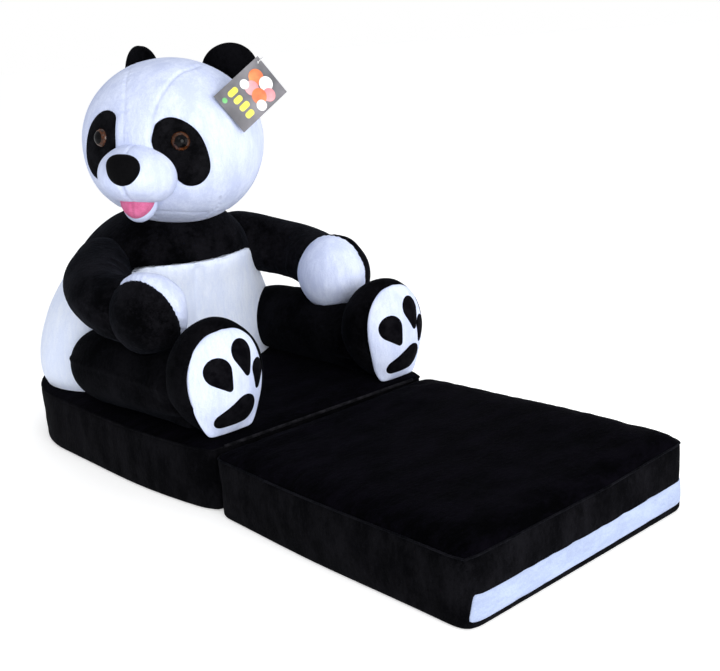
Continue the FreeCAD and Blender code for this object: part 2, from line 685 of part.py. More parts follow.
for word, side in (("right", -1), ("left", 1)):
    ear_outer = ear_shape(word + "_ear_outer", side, "0")
    ear_inner = ear_shape(word + "_ear_inner", side, "-Dims.fabric")
    ear_core = ear_shape(word + "_ear_core", side, "-Dims.fabric - Dims.slack")
    keep(cut(word + "_ear_cover", ear_outer, ear_inner, head_seat))
    ear_tools = [head_seat, loop_slot] if side > 0 else [head_seat]
    keep(cut(word + "_ear_stuffing", ear_core, *ear_tools))

# ------------------------------------------------------------------ hang tag and its loop
card = box("tag_card", "Dims.tag_width", "Dims.tag_height", "Dims.tag_thick",
           TAG * at(0, -SIZE["tag_height"], -SIZE["tag_thick"] / 2))
hole = cylinder("tag_hole", "Dims.tag_hole_radius", "10", TAG * at(hole_x, -hole_x, -5))
keep(cut("hang_tag", card, hole))

# The loop is a long ring standing upright on the card: one strand runs through the hole,
# the other passes outside the top edge, and the far end is stitched into the ear.
strand_length = "2 * (Dims.loop_half_length - Dims.loop_half_width)"
strands = [
    cylinder("strand_%d" % number, "Dims.wire_radius", strand_length, TAG * at(hole_x, across, strand_end))
    for number, across in enumerate((-hole_x, -hole_x + 2 * bend))
]
bends = []
for number, (way, depth) in enumerate(((1, strand_start), (-1, strand_end))):
    turn = Rotation(Vector(0, way, 0), Vector(0, 0, way), Vector(1, 0, 0), "XYZ")
    half_ring = doc.addObject("Part::Torus", "bend_%d" % number)
    bind(half_ring, Radius1="Dims.loop_half_width", Radius2="Dims.wire_radius")
    half_ring.Angle3 = 180
    half_ring.Placement = TAG * at(hole_x, -hole_x + bend, depth, turn)
    bends.append(half_ring)
keep(fuse("tag_loop", *strands, *bends))

# ------------------------------------------------------------------ checks and files
doc.recompute()

for item in doc.Objects:
    faults = [word for word in item.State if word in ("Invalid", "Error")]
    if faults:
        raise RuntimeError("%s is %s" % (item.Label, faults))

os.makedirs("parts", exist_ok=True)
for part in HELD:
    shape = part.Shape
    if shape.isNull() or not shape.isValid() or not shape.Solids:
        raise RuntimeError("%s has no valid solid" % part.Label)
    shape.exportStep("parts/%s.step" % part.Label)
    room = shape.BoundBox
    print("%-22s solids %d volume %12.1f  x %7.1f %7.1f  y %7.1f %7.1f  z %7.1f %7.1f" % (
        part.Label, len(shape.Solids), shape.Volume,
        room.XMin, room.XMax, room.YMin, room.YMax, room.ZMin, room.ZMax))
print("%d parts written" % len(HELD))
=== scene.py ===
import itertools
import json
import math

import bmesh
import bpy
import numpy as np
from mathutils import Matrix, Vector

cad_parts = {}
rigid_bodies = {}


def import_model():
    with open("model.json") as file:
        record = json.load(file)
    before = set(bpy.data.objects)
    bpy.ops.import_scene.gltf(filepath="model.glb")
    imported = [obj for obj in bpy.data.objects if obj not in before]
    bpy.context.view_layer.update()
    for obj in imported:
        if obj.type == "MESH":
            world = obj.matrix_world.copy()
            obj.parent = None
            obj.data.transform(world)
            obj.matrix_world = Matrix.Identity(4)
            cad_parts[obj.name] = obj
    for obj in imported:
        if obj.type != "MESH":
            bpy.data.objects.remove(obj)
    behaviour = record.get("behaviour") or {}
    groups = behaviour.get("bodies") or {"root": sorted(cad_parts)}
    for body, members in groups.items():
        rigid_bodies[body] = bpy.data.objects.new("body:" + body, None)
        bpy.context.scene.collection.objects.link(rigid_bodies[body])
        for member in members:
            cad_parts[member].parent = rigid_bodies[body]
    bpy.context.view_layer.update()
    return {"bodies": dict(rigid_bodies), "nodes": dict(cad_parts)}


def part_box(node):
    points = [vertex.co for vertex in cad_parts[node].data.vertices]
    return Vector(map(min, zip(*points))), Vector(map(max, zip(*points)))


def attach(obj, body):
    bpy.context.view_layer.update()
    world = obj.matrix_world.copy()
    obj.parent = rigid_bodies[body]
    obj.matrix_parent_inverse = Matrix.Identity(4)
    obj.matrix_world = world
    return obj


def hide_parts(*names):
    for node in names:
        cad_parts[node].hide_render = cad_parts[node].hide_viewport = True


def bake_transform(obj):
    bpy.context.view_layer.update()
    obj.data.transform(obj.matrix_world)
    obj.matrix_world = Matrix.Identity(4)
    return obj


# Looks of the plush panda armchair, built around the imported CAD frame.
# Lengths in this file are millimetres until MM turns them into Blender metres.
# +Z is up, the panda faces -Y, +X is its own left, the origin is on the floor under the fold.

MM = 0.001
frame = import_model()
scene = bpy.context.scene
SIDES = (("right", -1), ("left", 1))

# ------------------------------------------------------------------ shared sizes
BASE_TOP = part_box("base_top_panel")[1][2] / MM
BASE_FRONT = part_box("base_top_panel")[0][1] / MM
BASE_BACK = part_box("base_top_panel")[1][1] / MM
BASE_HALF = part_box("base_top_panel")[1][0] / MM
BASE_HALF_FRONT = 212.0
MAT_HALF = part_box("mat_top_panel")[1][0] / MM
MAT_END = -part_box("mat_top_panel")[0][1] / MM
MAT_START = -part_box("mat_top_panel")[1][1] / MM
MAT_SEAM = 88.0
SHOULDER = np.array([140.0, 385.0, 305.0])
HEAD_CENTRE = np.array([0.0, 344.0, 495.0])
HEAD_TURN = (-56.0, -6.7, 4.9)
HEAD_AXES = np.array([148.0, 150.0, 136.0])
CROWN_DROP = 2.0


def rotation(degrees, axis):
    return np.array(Matrix.Rotation(math.radians(degrees), 3, axis))


HEAD_ROTATION = rotation(HEAD_TURN[0], "Z") @ rotation(HEAD_TURN[1], "X") @ rotation(HEAD_TURN[2], "Y")


def on_head(points):
    """Head-frame points (face towards -Y) in the row frame."""
    return HEAD_CENTRE + np.asarray(points) @ HEAD_ROTATION.T


# ------------------------------------------------------------------ numbers helpers
def unit(vector):
    vector = np.asarray(vector, dtype=float)
    return vector / np.linalg.norm(vector, axis=-1, keepdims=True)


def smooth_step(low, high, value):
    share = np.clip((value - low) / (high - low), 0.0, 1.0)
    return share * share * (3 - 2 * share)


def bell(distance, width):
    return np.exp(-(distance / width) ** 2)


def circle(angles):
    return np.stack([np.cos(angles), np.sin(angles)], axis=-1)


def full_turn(count):
    return circle(np.linspace(0, 2 * math.pi, count, endpoint=False))


def lattice_noise(points, cell, seed):
    """Smooth noise in -1..1 with bumps of about one cell."""
    place = points / cell + seed * 7.31
    base = np.floor(place)
    part = place - base
    part = part * part * (3 - 2 * part)
    total = np.zeros(len(points))
    for corner in itertools.product((0, 1), repeat=3):
        spot = base + np.array(corner)
        value = np.sin(spot @ np.array([127.1, 311.7, 74.7]) + seed * 13.7) * 43758.5453
        value = 2 * (value - np.floor(value)) - 1
        weight = np.prod(np.where(np.array(corner) == 1, part, 1 - part), axis=1)
        total += weight * value
    return total


def fractal(points, cell, seed, octaves=2):
    total = np.zeros(len(points))
    for octave in range(octaves):
        total += lattice_noise(points, cell / 2 ** octave, seed + octave) / 2 ** octave
    return total


def polyline_distance(points, line):
    """Distance of points to a polyline and the length along it."""
    best = np.full(len(points), 1e9)
    where = np.zeros(len(points))
    run = 0.0
    for start, end in zip(line[:-1], line[1:]):
        along = end - start
        share = np.clip(((points - start) @ along) / (along @ along), 0.0, 1.0)
        distance = np.linalg.norm(points - start - share[:, None] * along, axis=1)
        length = np.linalg.norm(along)
        closer = distance < best
        best = np.where(closer, distance, best)
        where = np.where(closer, run + share * length, where)
        run += length
    return best, where


def spline(controls, count):
    """Points of a Catmull-Rom curve through rows of control values."""
    controls = np.asarray(controls, dtype=float)
    padded = np.vstack([2 * controls[0] - controls[1], controls, 2 * controls[-1] - controls[-2]])
    value = np.linspace(0, len(controls) - 1, count)
    span = np.minimum(value.astype(int), len(controls) - 2)
    t = (value - span)[:, None]
    a, b, c, d = (padded[span + k] for k in range(4))
    return 0.5 * (2 * b + (c - a) * t + (2 * a - 5 * b + 4 * c - d) * t ** 2
                  + (3 * b - a - 3 * c + d) * t ** 3)


def resample(line, count):
    """Evenly spaced points along an open line, the last one left out."""
    lengths = np.concatenate([[0], np.cumsum(np.linalg.norm(np.diff(line, axis=0), axis=1))])
    wanted = np.linspace(0, lengths[-1], count, endpoint=False)
    return np.stack([np.interp(wanted, lengths, line[:, k]) for k in range(2)], axis=1)


# ------------------------------------------------------------------ mesh helpers
def make_piece(name, points, faces, *materials, levels=0, face_materials=()):
    """Closed smooth mesh object from millimetre points."""
    mesh = bpy.data.meshes.new(name)
    mesh.from_pydata((np.asarray(points) * MM).tolist(), [], [tuple(face) for face in faces])
    mesh.validate()
    welded = bmesh.new()
    welded.from_mesh(mesh)
    bmesh.ops.remove_doubles(welded, verts=welded.verts, dist=1e-6)
    bmesh.ops.recalc_face_normals(welded, faces=welded.faces)
    welded.to_mesh(mesh)
    welded.free()
    thing = bpy.data.objects.new(name, mesh)
    scene.collection.objects.link(thing)
    for material in materials:
        mesh.materials.append(material)
    mesh.polygons.foreach_set("use_smooth", [True] * len(mesh.polygons))
    if len(face_materials):
        mesh.polygons.foreach_set("material_index", face_materials)
    if levels:
        rounder = thing.modifiers.new("round", "SUBSURF")
        rounder.levels = levels
        rounder.render_levels = levels
    return thing


def place(thing, body, slot, *nodes):
    """Let a piece ride on a body and stand for CAD nodes, whose parts are hidden; the slot is not used."""
    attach(thing, body)
    finish(thing, slot, *nodes)


def finish(thing, slot, *nodes):
    if nodes:
        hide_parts(*nodes)


def ring_faces(rows, columns):
    low = np.arange((rows - 1) * columns).reshape(-1, columns)
    after = np.roll(low, -1, axis=1)
    return np.stack([low, after, after + columns, low + columns], axis=-1).reshape(-1, 4)


def closed_rings(rings):
    """Points and faces of a skin over rings, closed by a fan at both ends."""
    rings = np.asarray(rings)
    rows, columns = rings.shape[:2]
    points = np.vstack([rings.reshape(-1, 3), rings[0].mean(axis=0), rings[-1].mean(axis=0)])
    faces = ring_faces(rows, columns).tolist()
    first, last, top = rows * columns, rows * columns + 1, (rows - 1) * columns
    for column in range(columns):
        after = (column + 1) % columns
        faces += [(first, after, column), (last, top + column, top + after)]
    return points, faces


def cube_sphere(count):
    """Unit directions and quads of an evenly divided cube blown up to a ball, welded by make_piece."""
    ticks = np.tan(np.linspace(-1, 1, count + 1) * math.pi / 4)
    grid = np.array(list(itertools.product(ticks, ticks)))
    corners = np.arange(len(grid)).reshape(count + 1, -1)[:-1, :-1].reshape(-1, 1)
    quads = corners + np.array([0, count + 1, count + 2, 1])
    points, faces = [], []
    for axis, sign in itertools.product(range(3), (-1, 1)):
        faces.append((quads if sign > 0 else quads[:, ::-1]) + len(points) * len(grid))
        points.append(np.roll(np.insert(grid, 0, sign, axis=1), axis, axis=1))
    return unit(np.vstack(points)), np.vstack(faces)


def normals_of(points, faces):
    """Vertex normals from the faces round each vertex."""
    normals = np.zeros_like(points)
    for size in (3, 4):
        chosen = np.array([face for face in faces if len(face) == size])
        if len(chosen) == 0:
            continue
        a = points[chosen[:, 2]] - points[chosen[:, 0]]
        b = points[chosen[:, -1]] - points[chosen[:, 1]]
        flat = np.cross(a, b)
        for corner in range(size):
            np.add.at(normals, chosen[:, corner], flat)
    return normals / np.maximum(np.linalg.norm(normals, axis=1, keepdims=True), 1e-9)


def cord(name, line, radius, material, closed=True, sides=8):
    """Thin sewn cord along a line of points."""
    if closed:
        ahead, behind = np.roll(line, -1, axis=0), np.roll(line, 1, axis=0)
    else:
        ahead = np.vstack([line[1:], line[-1]])
        behind = np.vstack([line[0], line[:-1]])
    heading = unit(ahead - behind)
    lift = unit(np.cross(heading, np.cross([0.0, 0.0, 1.0], heading) + 1e-9))
    side = np.cross(heading, lift)
    turn = full_turn(sides)
    rings = line[:, None] + radius * (turn[:, :1] * lift[:, None] + turn[:, 1:] * side[:, None])
    if closed:
        faces = ring_faces(len(line) + 1, sides) % (len(line) * sides)
        return make_piece(name, rings.reshape(-1, 3), faces, material)
    return make_piece(name, *closed_rings(rings), material)


# ------------------------------------------------------------------ materials
def wire(tree, node, inputs):
    """Give a node its inputs, each an output to link or a plain value."""
    for name, value in inputs.items():
        if isinstance(value, bpy.types.NodeSocket):
            tree.links.new(value, node.inputs[name])
        else:
            node.inputs[name].default_value = value
    return node


def add_node(tree, kind, inputs, **settings):
    node = tree.nodes.new("ShaderNode" + kind)
    for name, value in settings.items():
        setattr(node, name, value)
    return wire(tree, node, inputs)


def new_material(name):
    material = bpy.data.materials.new(name)
    material.use_nodes = True
    return material, material.node_tree


def noise(tree, scale, detail, stretch=(1, 1, 1), roughness=0.5):
    coords = add_node(tree, "TexCoord", {})
    mapping = add_node(tree, "Mapping", {"Vector": coords.outputs["Object"], "Scale": stretch})
    inputs = {"Vector": mapping.outputs["Vector"], "Scale": scale, "Detail": detail, "Roughness": roughness}
    return add_node(tree, "TexNoise", inputs).outputs["Fac"]


def ramp(tree, source, low, high, dark, light):
    node = add_node(tree, "ValToRGB", {"Fac": source})
    for stop, position, colour in zip(node.color_ramp.elements, (low, high), (dark, light)):
        stop.position = position
        stop.color = (*colour, 1)
    return node.outputs["Color"]


def weighted_sum(tree, total, parts):
    for output, weight in parts:
        inputs = {0: output, 1: weight, 2: total}
        total = add_node(tree, "Math", inputs, operation="MULTIPLY_ADD").outputs[0]
    return total


def bump(tree, heights, strength, distance):
    """Bump from the sum of several (output, weight) heights."""
    inputs = {"Height": weighted_sum(tree, 0.0, heights), "Strength": strength, "Distance": distance}
    return add_node(tree, "Bump", inputs).outputs["Normal"]


def plush(name, dark, light, sheen, sheen_tint, nap=(1, 1, 1), mottle=16.0, pile=0.0014):
    """Short cut pile: mottled nap, soft sheen and a fine furry bump."""
    material, tree = new_material(name)
    tufts = noise(tree, 620.0, 3.0)
    clumps = noise(tree, 150.0, 3.0, nap)
    grain = ((tufts, 0.42), (clumps, 0.34))
    brushed = weighted_sum(tree, noise(tree, mottle, 6.0, nap, 0.62), grain)
    half_grain = sum(weight for _, weight in grain) / 2
    shade = add_node(tree, "Math", {0: brushed, 1: half_grain}, operation="SUBTRACT").outputs[0]
    wire(tree, tree.nodes["Principled BSDF"], {
        "Base Color": ramp(tree, shade, 0.38, 0.66, dark, light),
        "Normal": bump(tree, [(tufts, 1.0), (clumps, 1.6)], 0.55, pile),
        "Roughness": ramp(tree, tufts, 0.3, 0.7, (0.78,) * 3, (0.98,) * 3),
        "Specular IOR Level": 0.012,
        "Sheen Weight": sheen,
        "Sheen Roughness": 0.42,
        "Sheen Tint": (*sheen_tint, 1),
    })
    return material


def grained(name, dark, light, colour_noise, bump_noise, strength, distance, shine):
    """Felt, plastic or card: a mottled colour and a fine bump."""
    material, tree = new_material(name)
    wire(tree, tree.nodes["Principled BSDF"], {
        "Base Color": ramp(tree, noise(tree, *colour_noise), 0.35, 0.7, dark, light),
        "Normal": bump(tree, [(noise(tree, *bump_noise), 1.0)], strength, distance),
        **shine,
    })
    return material


def eye_plastic(name, dark, light, roughness, gloss, coat):
    shine = {"Roughness": roughness, "Specular IOR Level": gloss, "Coat Weight": coat, "Coat Roughness": 0.03}
    return grained(name, dark, light, (260.0, 3.0), (1500.0, 2.0), 0.03, 0.0002, shine)


def card(name, dark, light, scale=45.0):
    return grained(name, dark, light, (scale, 3.0), (1200.0, 2.0), 0.1, 0.0002, {"Roughness": 0.42})


def woven(name, dark, light):
    """Plain lining cloth with a fine over and under weave."""
    material, tree = new_material(name)
    coords = add_node(tree, "TexCoord", {})
    bands = []
    for direction in ("X", "Y"):
        inputs = {"Vector": coords.outputs["Object"], "Scale": 380.0, "Distortion": 0.4}
        bands.append(add_node(tree, "TexWave", inputs, bands_direction=direction).outputs["Fac"])
    wire(tree, tree.nodes["Principled BSDF"], {
        "Base Color": ramp(tree, bands[0], 0.2, 0.8, dark, light),
        "Normal": bump(tree, [(band, 1.0) for band in bands], 0.4, 0.0004),
        "Roughness": 0.9,
    })
    return material


COOL, NEUTRAL, COLD_WHITE = (0.62, 0.72, 1.0), (0.75, 0.75, 0.85), (0.95, 0.97, 1.0)
BLACK = plush("black_pile", (0.0008, 0.0008, 0.0011), (0.0062, 0.0060, 0.0077), 0.020, COOL)
# A darker copy of the same black pile: painted shade on the feet, thighs and ears.
BLACK_LOW_PAINTED_SHADE = plush("black_pile_leg_and_ear_painted_shade", (0.0003, 0.0003, 0.0005), (0.0034, 0.0033, 0.0043), 0.010, COOL)
# Seat and mat tops: a darker copy of the black pile, painted shade. Side bands: a lighter copy, painted light
# from the side.
BLACK_TOP_PAINTED_SHADE = plush("black_pile_seat_painted_shade", (0.0001, 0.0001, 0.0003), (0.0017, 0.0014, 0.0028), 0.0065,
                  (0.6, 0.6, 0.9), nap=(0.7, 1.3, 1), mottle=26.0)
BLACK_SIDE_PAINTED_LIGHT = plush("black_pile_side_painted_light", (0.0010, 0.0010, 0.0014), (0.0046, 0.0045, 0.0057), 0.008,
                   (0.72, 0.76, 0.95), nap=(1.5, 1.5, 0.8), mottle=20.0)
BLACK_DEEP = plush("black_pile_patch", (0.0016, 0.0016, 0.0020), (0.0065, 0.0064, 0.0078), 0.025,
                   (0.6, 0.65, 0.85), mottle=40.0)
PAD_GREY = plush("black_pile_pad", (0.0016, 0.0015, 0.0023), (0.0052, 0.0050, 0.0066), 0.012, NEUTRAL,
                 mottle=60.0)
# Lighter black pile for the seat's front cord: a painted highlight along the ridge where base and mat meet.
PIPING_PAINTED_HIGHLIGHT = plush("black_pile_piping_painted_highlight", (0.004, 0.004, 0.005), (0.017, 0.0165, 0.020), 0.015, NEUTRAL,
               mottle=60.0)
# A lighter copy of the white pile for the belly: painted light that lifts the shade the arms, hands and head
# cast on it.
WHITE_BELLY_PAINTED_LIGHT = plush("white_pile_belly_painted_light", (0.70, 0.77, 0.95), (0.80, 0.86, 0.99), 0.12, COLD_WHITE,
                    nap=(1.6, 1.6, 0.5), mottle=22.0, pile=0.0009)
WHITE = plush("white_pile", (0.53, 0.59, 0.80), (0.66, 0.72, 0.91), 0.08, COLD_WHITE,
              nap=(1.6, 1.6, 0.5), mottle=22.0, pile=0.0009)
# A darker copy of the white pile for the mat's end stripe: painted shade that holds back the front light
# falling full on it.
WHITE_STRIPE_PAINTED_SHADE = plush("white_pile_stripe_painted_shade", (0.29, 0.34, 0.48), (0.36, 0.42, 0.58), 0.05, COLD_WHITE,
                     nap=(0.7, 1.6, 1.6), mottle=22.0, pile=0.0009)
PINK = plush("pink_pile", (0.48, 0.10, 0.21), (0.62, 0.16, 0.31), 0.10, (1.0, 0.75, 0.85), mottle=50.0,
             pile=0.0008)
NOSE = grained("nose_cloth", (0.0008, 0.0008, 0.0011), (0.0034, 0.0034, 0.0042), (900.0, 2.0), (900.0, 2.0),
               0.5, 0.0006, {"Roughness": 0.7, "Specular IOR Level": 0.03, "Sheen Weight": 0.008})
IRIS = eye_plastic("eye_brown", (0.014, 0.005, 0.002), (0.09, 0.028, 0.009), 0.12, 0.2, 0.16)
PUPIL = eye_plastic("eye_black", (0.002, 0.002, 0.002), (0.004, 0.004, 0.005), 0.08, 0.06, 0.05)
LINING = woven("black_lining", (0.002, 0.002, 0.003), (0.007, 0.007, 0.009))
TAG_GREY = card("tag_grey", (0.10, 0.10, 0.11), (0.24, 0.23, 0.25), 22.0)
TAG_WHITE = card("tag_white", (0.78, 0.78, 0.78), (0.88, 0.88, 0.88))
TAG_ORANGE = card("tag_orange", (0.70, 0.16, 0.06), (0.85, 0.30, 0.10))
TAG_PINK = card("tag_pink", (0.72, 0.25, 0.28), (0.85, 0.42, 0.44))
TAG_YELLOW = card("tag_yellow", (0.75, 0.68, 0.08), (0.88, 0.82, 0.16))
TAG_GREEN = card("tag_green", (0.12, 0.42, 0.14), (0.22, 0.6, 0.22))
NYLON = card("loop_nylon", (0.7, 0.7, 0.7), (0.8, 0.8, 0.8))

# ------------------------------------------------------------------ cushions
SIDE_STEPS = 54
BAND_STEPS = 12
SIM_FRAMES = 20
# Points round the whole outline of a cushion.
RING = 4 * SIDE_STEPS
TOP, BAND, BOTTOM = 0, 1, 2
MIRROR = np.array([-1.0, 1.0])


def base_outline():
    """Four sides of the base plan, each resampled: front, left, back, right of the panda."""
    front_radius, back_radius, widest = 16.0, 226.0, 250.0
    turn = circle(np.linspace(0, math.pi / 2, 14))
    flare = np.linspace(BASE_FRONT + front_radius, widest, 40)[1:]
    narrowing = ((widest - flare) / (widest - BASE_FRONT)) ** 2
    front_arc = np.stack([BASE_HALF_FRONT - front_radius * (1 - turn[:, 1]),
                          BASE_FRONT + front_radius * (1 - turn[:, 0])], axis=1)
    wing = np.stack([BASE_HALF - (BASE_HALF - BASE_HALF_FRONT) * narrowing, flare], axis=1)
    back_turn = circle(np.linspace(0, math.pi / 2, 50))
    back_arc = np.array([BASE_HALF, BASE_BACK]) - back_radius * (1 - back_turn)
    side = np.vstack([front_arc, wing, back_arc])
    corner, split = 7, len(front_arc) + len(wing) + 25
    front = np.vstack([side[corner::-1] * MIRROR, side[:corner + 1]])
    left = side[corner:split + 1]
    back = np.vstack([side[split:], side[:split - 1:-1] * MIRROR])
    return np.vstack([resample(part, SIDE_STEPS) for part in (front, left, back, (left * MIRROR)[::-1])])


def mat_outline():
    radius = 20.0
    corners = []
    for cx, cy, start in ((-1, -1, 180), (1, -1, 270), (1, 1, 0), (-1, 1, 90)):
        centre = (cx * (MAT_HALF + 4 - radius), radius - MAT_END - 6 if cy < 0 else -MAT_START - radius)
        corners.append(centre + radius * circle(np.radians(start + np.linspace(0, 90, 13))))
    sides = [np.vstack([corners[k][6:], corners[(k + 1) % 4][:7]]) for k in range(4)]
    outline = np.vstack([resample(side, SIDE_STEPS) for side in sides])
    bow = 5.0 * bell(outline[:, 1] + MAT_END * 0.45, 150.0)
    outline[:, 0] -= bow * (outline[:, 0] < 30 - MAT_HALF)
    return outline


def cushion_shape(outline, low, high):
    """Points and faces of a slab cushion: bottom panel, side band, top panel, all in quads."""
    centre = np.array([0.0, (outline[:, 1].min() + outline[:, 1].max()) / 2])
    ticks = np.linspace(-1, 1, SIDE_STEPS + 1)
    s, t = np.meshgrid(ticks, ticks, indexing="ij")
    reach = np.maximum(np.abs(s), np.abs(t))
    x, y = s / np.maximum(reach, 1e-9), t / np.maximum(reach, 1e-9)
    # Place along the closed outline, counted from the front right corner in quarters of its length.
    run = np.select([t == -reach, s == reach, t == reach],
                    [(1 + x) / 2, 1 + (1 + y) / 2, 2 + (1 - x) / 2], 3 + (1 - y) / 2)
    closed = np.vstack([outline, outline[:1]])
    edge = np.stack([np.interp(run * SIDE_STEPS, np.arange(RING + 1), line) for line in closed.T], axis=-1)
    flat = (centre + (edge - centre) * reach[..., None]).reshape(-1, 2)
    levels = np.linspace(low, high, BAND_STEPS + 1)
    sheets = [flat, flat] + [outline] * (BAND_STEPS - 1)
    heights = [low, high, *levels[1:-1]]
    points = np.vstack([np.insert(sheet, 2, height, axis=1) for sheet, height in zip(sheets, heights)])
    share = np.concatenate([reach.ravel(), reach.ravel(), np.ones(RING * (BAND_STEPS - 1))])

    grid = np.arange(reach.size).reshape(reach.shape)
    rim = np.concatenate([grid[:-1, 0], grid[-1, :-1], grid[:0:-1, -1], grid[0, :0:-1]])
    band = 2 * grid.size + np.arange(RING * (BAND_STEPS - 1)).reshape(-1, RING)
    rows = np.vstack([rim, band, rim + grid.size])
    panel = np.stack([grid[:-1, :-1], grid[1:, :-1], grid[1:, 1:], grid[:-1, 1:]], axis=-1).reshape(-1, 4)
    panels = np.stack([panel + grid.size, panel[:, ::-1]], axis=1).reshape(-1, 4)
    after = np.roll(rows, -1, axis=1)
    walls = np.stack([rows[:-1], after[:-1], after[1:], rows[1:]], axis=-1).reshape(-1, 4)
    kinds = [TOP, BOTTOM] * len(panel) + [BAND] * len(walls)
    return points, np.vstack([panels, walls]), kinds, share, rows


def inflate(name, points, faces, held, cap):
    """Cloth simulation of a stuffed cover: swells under pressure, held where it is sewn down."""
    mesh = bpy.data.meshes.new(name)
    mesh.from_pydata((points * MM).tolist(), [], faces.tolist())
    body = bpy.data.objects.new(name, mesh)
    scene.collection.objects.link(body)
    body.vertex_groups.new(name="held").add(held.tolist(), 1.0, "REPLACE")
    cloth = body.modifiers.new("cloth", "CLOTH")
    for setting, value in {
        "use_pressure": True, "uniform_pressure_force": 2.4, "quality": 6, "mass": 0.25,
        "tension_stiffness": 22, "compression_stiffness": 12, "shear_stiffness": 8,
        "bending_stiffness": 0.35, "vertex_group_mass": "held", "shrink_min": -0.005,
    }.items():
        setattr(cloth.settings, setting, value)
    cloth.settings.effector_weights.gravity = 0
    cloth.collision_settings.use_collision = False
    cloth.point_cache.frame_start = 1
    cloth.point_cache.frame_end = SIM_FRAMES + 4
    for step in range(1, SIM_FRAMES + 1):
        scene.frame_set(step)
    solved = body.evaluated_get(bpy.context.evaluated_depsgraph_get())
    moved = np.empty(points.size)
    solved.data.vertices.foreach_get("co", moved)
    scene.frame_set(1)
    bpy.data.objects.remove(body)
    shift = moved.reshape(-1, 3) / MM - points
    length = np.linalg.norm(shift, axis=1)
    return points + shift * np.minimum(1.0, cap / np.maximum(length, 1e-9))[:, None]


def build_cushion(name, outline, seam, top_cap, side_cap):
    """A cushion with a swollen top and sides, sewn down along its top seam and its bottom panel."""
    rest, faces, kinds, share, rows = cushion_shape(outline, 1.0, seam)
    held = np.unique(np.concatenate([np.flatnonzero(rest[:, 2] == 1.0), rows[-1]]))
    cap = np.where((rest[:, 2] >= seam - 0.01) & (share < 1), top_cap, side_cap)
    return rest, inflate(name + "_sim", rest, faces, held, cap), faces, kinds, share, rows


def fold_wrinkles(rest, near_y, away, spacing, seed):
    """Height of slack folds that fan out from a held corner of the cloth near the hinge."""
    x = rest[:, 0]
    run = np.abs(rest[:, 1] - near_y)
    bend = x * 0.0016 + lattice_noise(rest, 190.0, seed) * 0.55
    phase = 2 * math.pi * run * (1.0 + 0.25 * x / MAT_HALF) / spacing + bend * 3.0
    ridges = np.sin(phase) + 0.5 * np.sin(phase * 1.9 + 1.3)
    return ridges * np.exp(-run / away) * (0.55 + 0.45 * lattice_noise(rest, 120.0, seed + 4))


def subdivided(points, quads):
    """Where one round of subdivision moves the vertices of a closed all-quad mesh."""
    middle = points[quads].mean(axis=1)
    total = np.zeros_like(points)
    count = np.zeros((len(points), 1))
    for corner in range(4):
        beside = (points[quads[:, corner - 1]] + points[quads[:, (corner + 1) % 4]]) / 2
        np.add.at(total, quads[:, corner], middle + beside)
        np.add.at(count, quads[:, corner], 1)
    return points / 2 + total / count / 4


def finish_cushion(body, points, faces, kinds, rows, cord_radius, cord_material):
    """Cushion piece and the cord along its top seam; gives back its smoothed skin."""
    # Top panels take the darker black copy (painted shade), side bands the lighter copy (painted light).
    cushion = make_piece(body + "_cushion", points, faces, BLACK_TOP_PAINTED_SHADE, BLACK_SIDE_PAINTED_LIGHT, LINING, levels=1,
                         face_materials=kinds)
    ride_on = "chair" if body == "base" else body
    nodes = [body + part for part in ("_foam", "_side_band", "_top_panel", "_bottom_panel")]
    place(cushion, ride_on, "black_plush", *nodes)
    skin = subdivided(points, faces)
    line = skin[rows[-1]]
    loop = spline(np.vstack([line, line[:1]]), 3 * len(line) + 1)[:-1]
    place(cord(body + "_top_seam", loop, cord_radius, cord_material), ride_on, "black_plush")
    return skin


# --- chair base
rest, points, faces, kinds, share, rows = build_cushion("base_cushion", base_outline(), BASE_TOP - 1,
                                                        top_cap=7.0, side_cap=5.0)
seat = (rest[:, 2] > BASE_TOP - 2) & (share < 1)
seat_zone = seat * smooth_step(0, 40, rest[:, 1]) * smooth_step(60, 0, np.abs(rest[:, 0]) - 80)
points[:, 2] += seat_zone * (1.6 * fold_wrinkles(rest, 0.0, 130.0, 81.7, 3) - 2.0)
points[:, 2] = np.minimum(points[:, 2], BASE_TOP + 5)
skin = finish_cushion("base", points, faces, kinds, rows, 1.8, BLACK_SIDE_PAINTED_LIGHT)
front_edge = spline(skin[rows[-1]][3:SIDE_STEPS - 2], 3 * SIDE_STEPS) + np.array([0.0, -1.0, 1.2])
# The lighter cord material paints the highlight along the seat's front ridge.
place(cord("seat_front_piping_painted_highlight", front_edge, 2.4, PIPING_PAINTED_HIGHLIGHT, closed=False, sides=12), "chair", "black_plush")

# --- mat
rest, points, faces, kinds, share, rows = build_cushion("mat_cushion", mat_outline(), MAT_SEAM,
                                                        top_cap=6.0, side_cap=7.0)
top = (rest[:, 2] > MAT_SEAM - 1) & (share < 1)
edge_calm = smooth_step(1.0, 0.86, share)
away = smooth_step(0, 350, -rest[:, 1])
points[:, 2] += top * (7.0 + 6.0 * away) * (1 - share ** 9) ** 0.45
points[:, 2] += (3.0 + 4.0 * away) * smooth_step(20, 200, rest[:, 0]) * rest[:, 2] / MAT_SEAM
slack = smooth_step(210, -160, rest[:, 0]) * smooth_step(0, 25, -rest[:, 1])
points[:, 2] += top * edge_calm * (
    1.9 * fold_wrinkles(rest, -MAT_START, 120.0, 81.7, 11)
    + 2.4 * slack * fold_wrinkles(rest, -MAT_START, 110.0, 34.0, 15)
    + 1.2 * fractal(rest, 90.0, 21, octaves=3))
mat_skin = finish_cushion("mat", points, faces, kinds, rows, 1.4, BLACK)


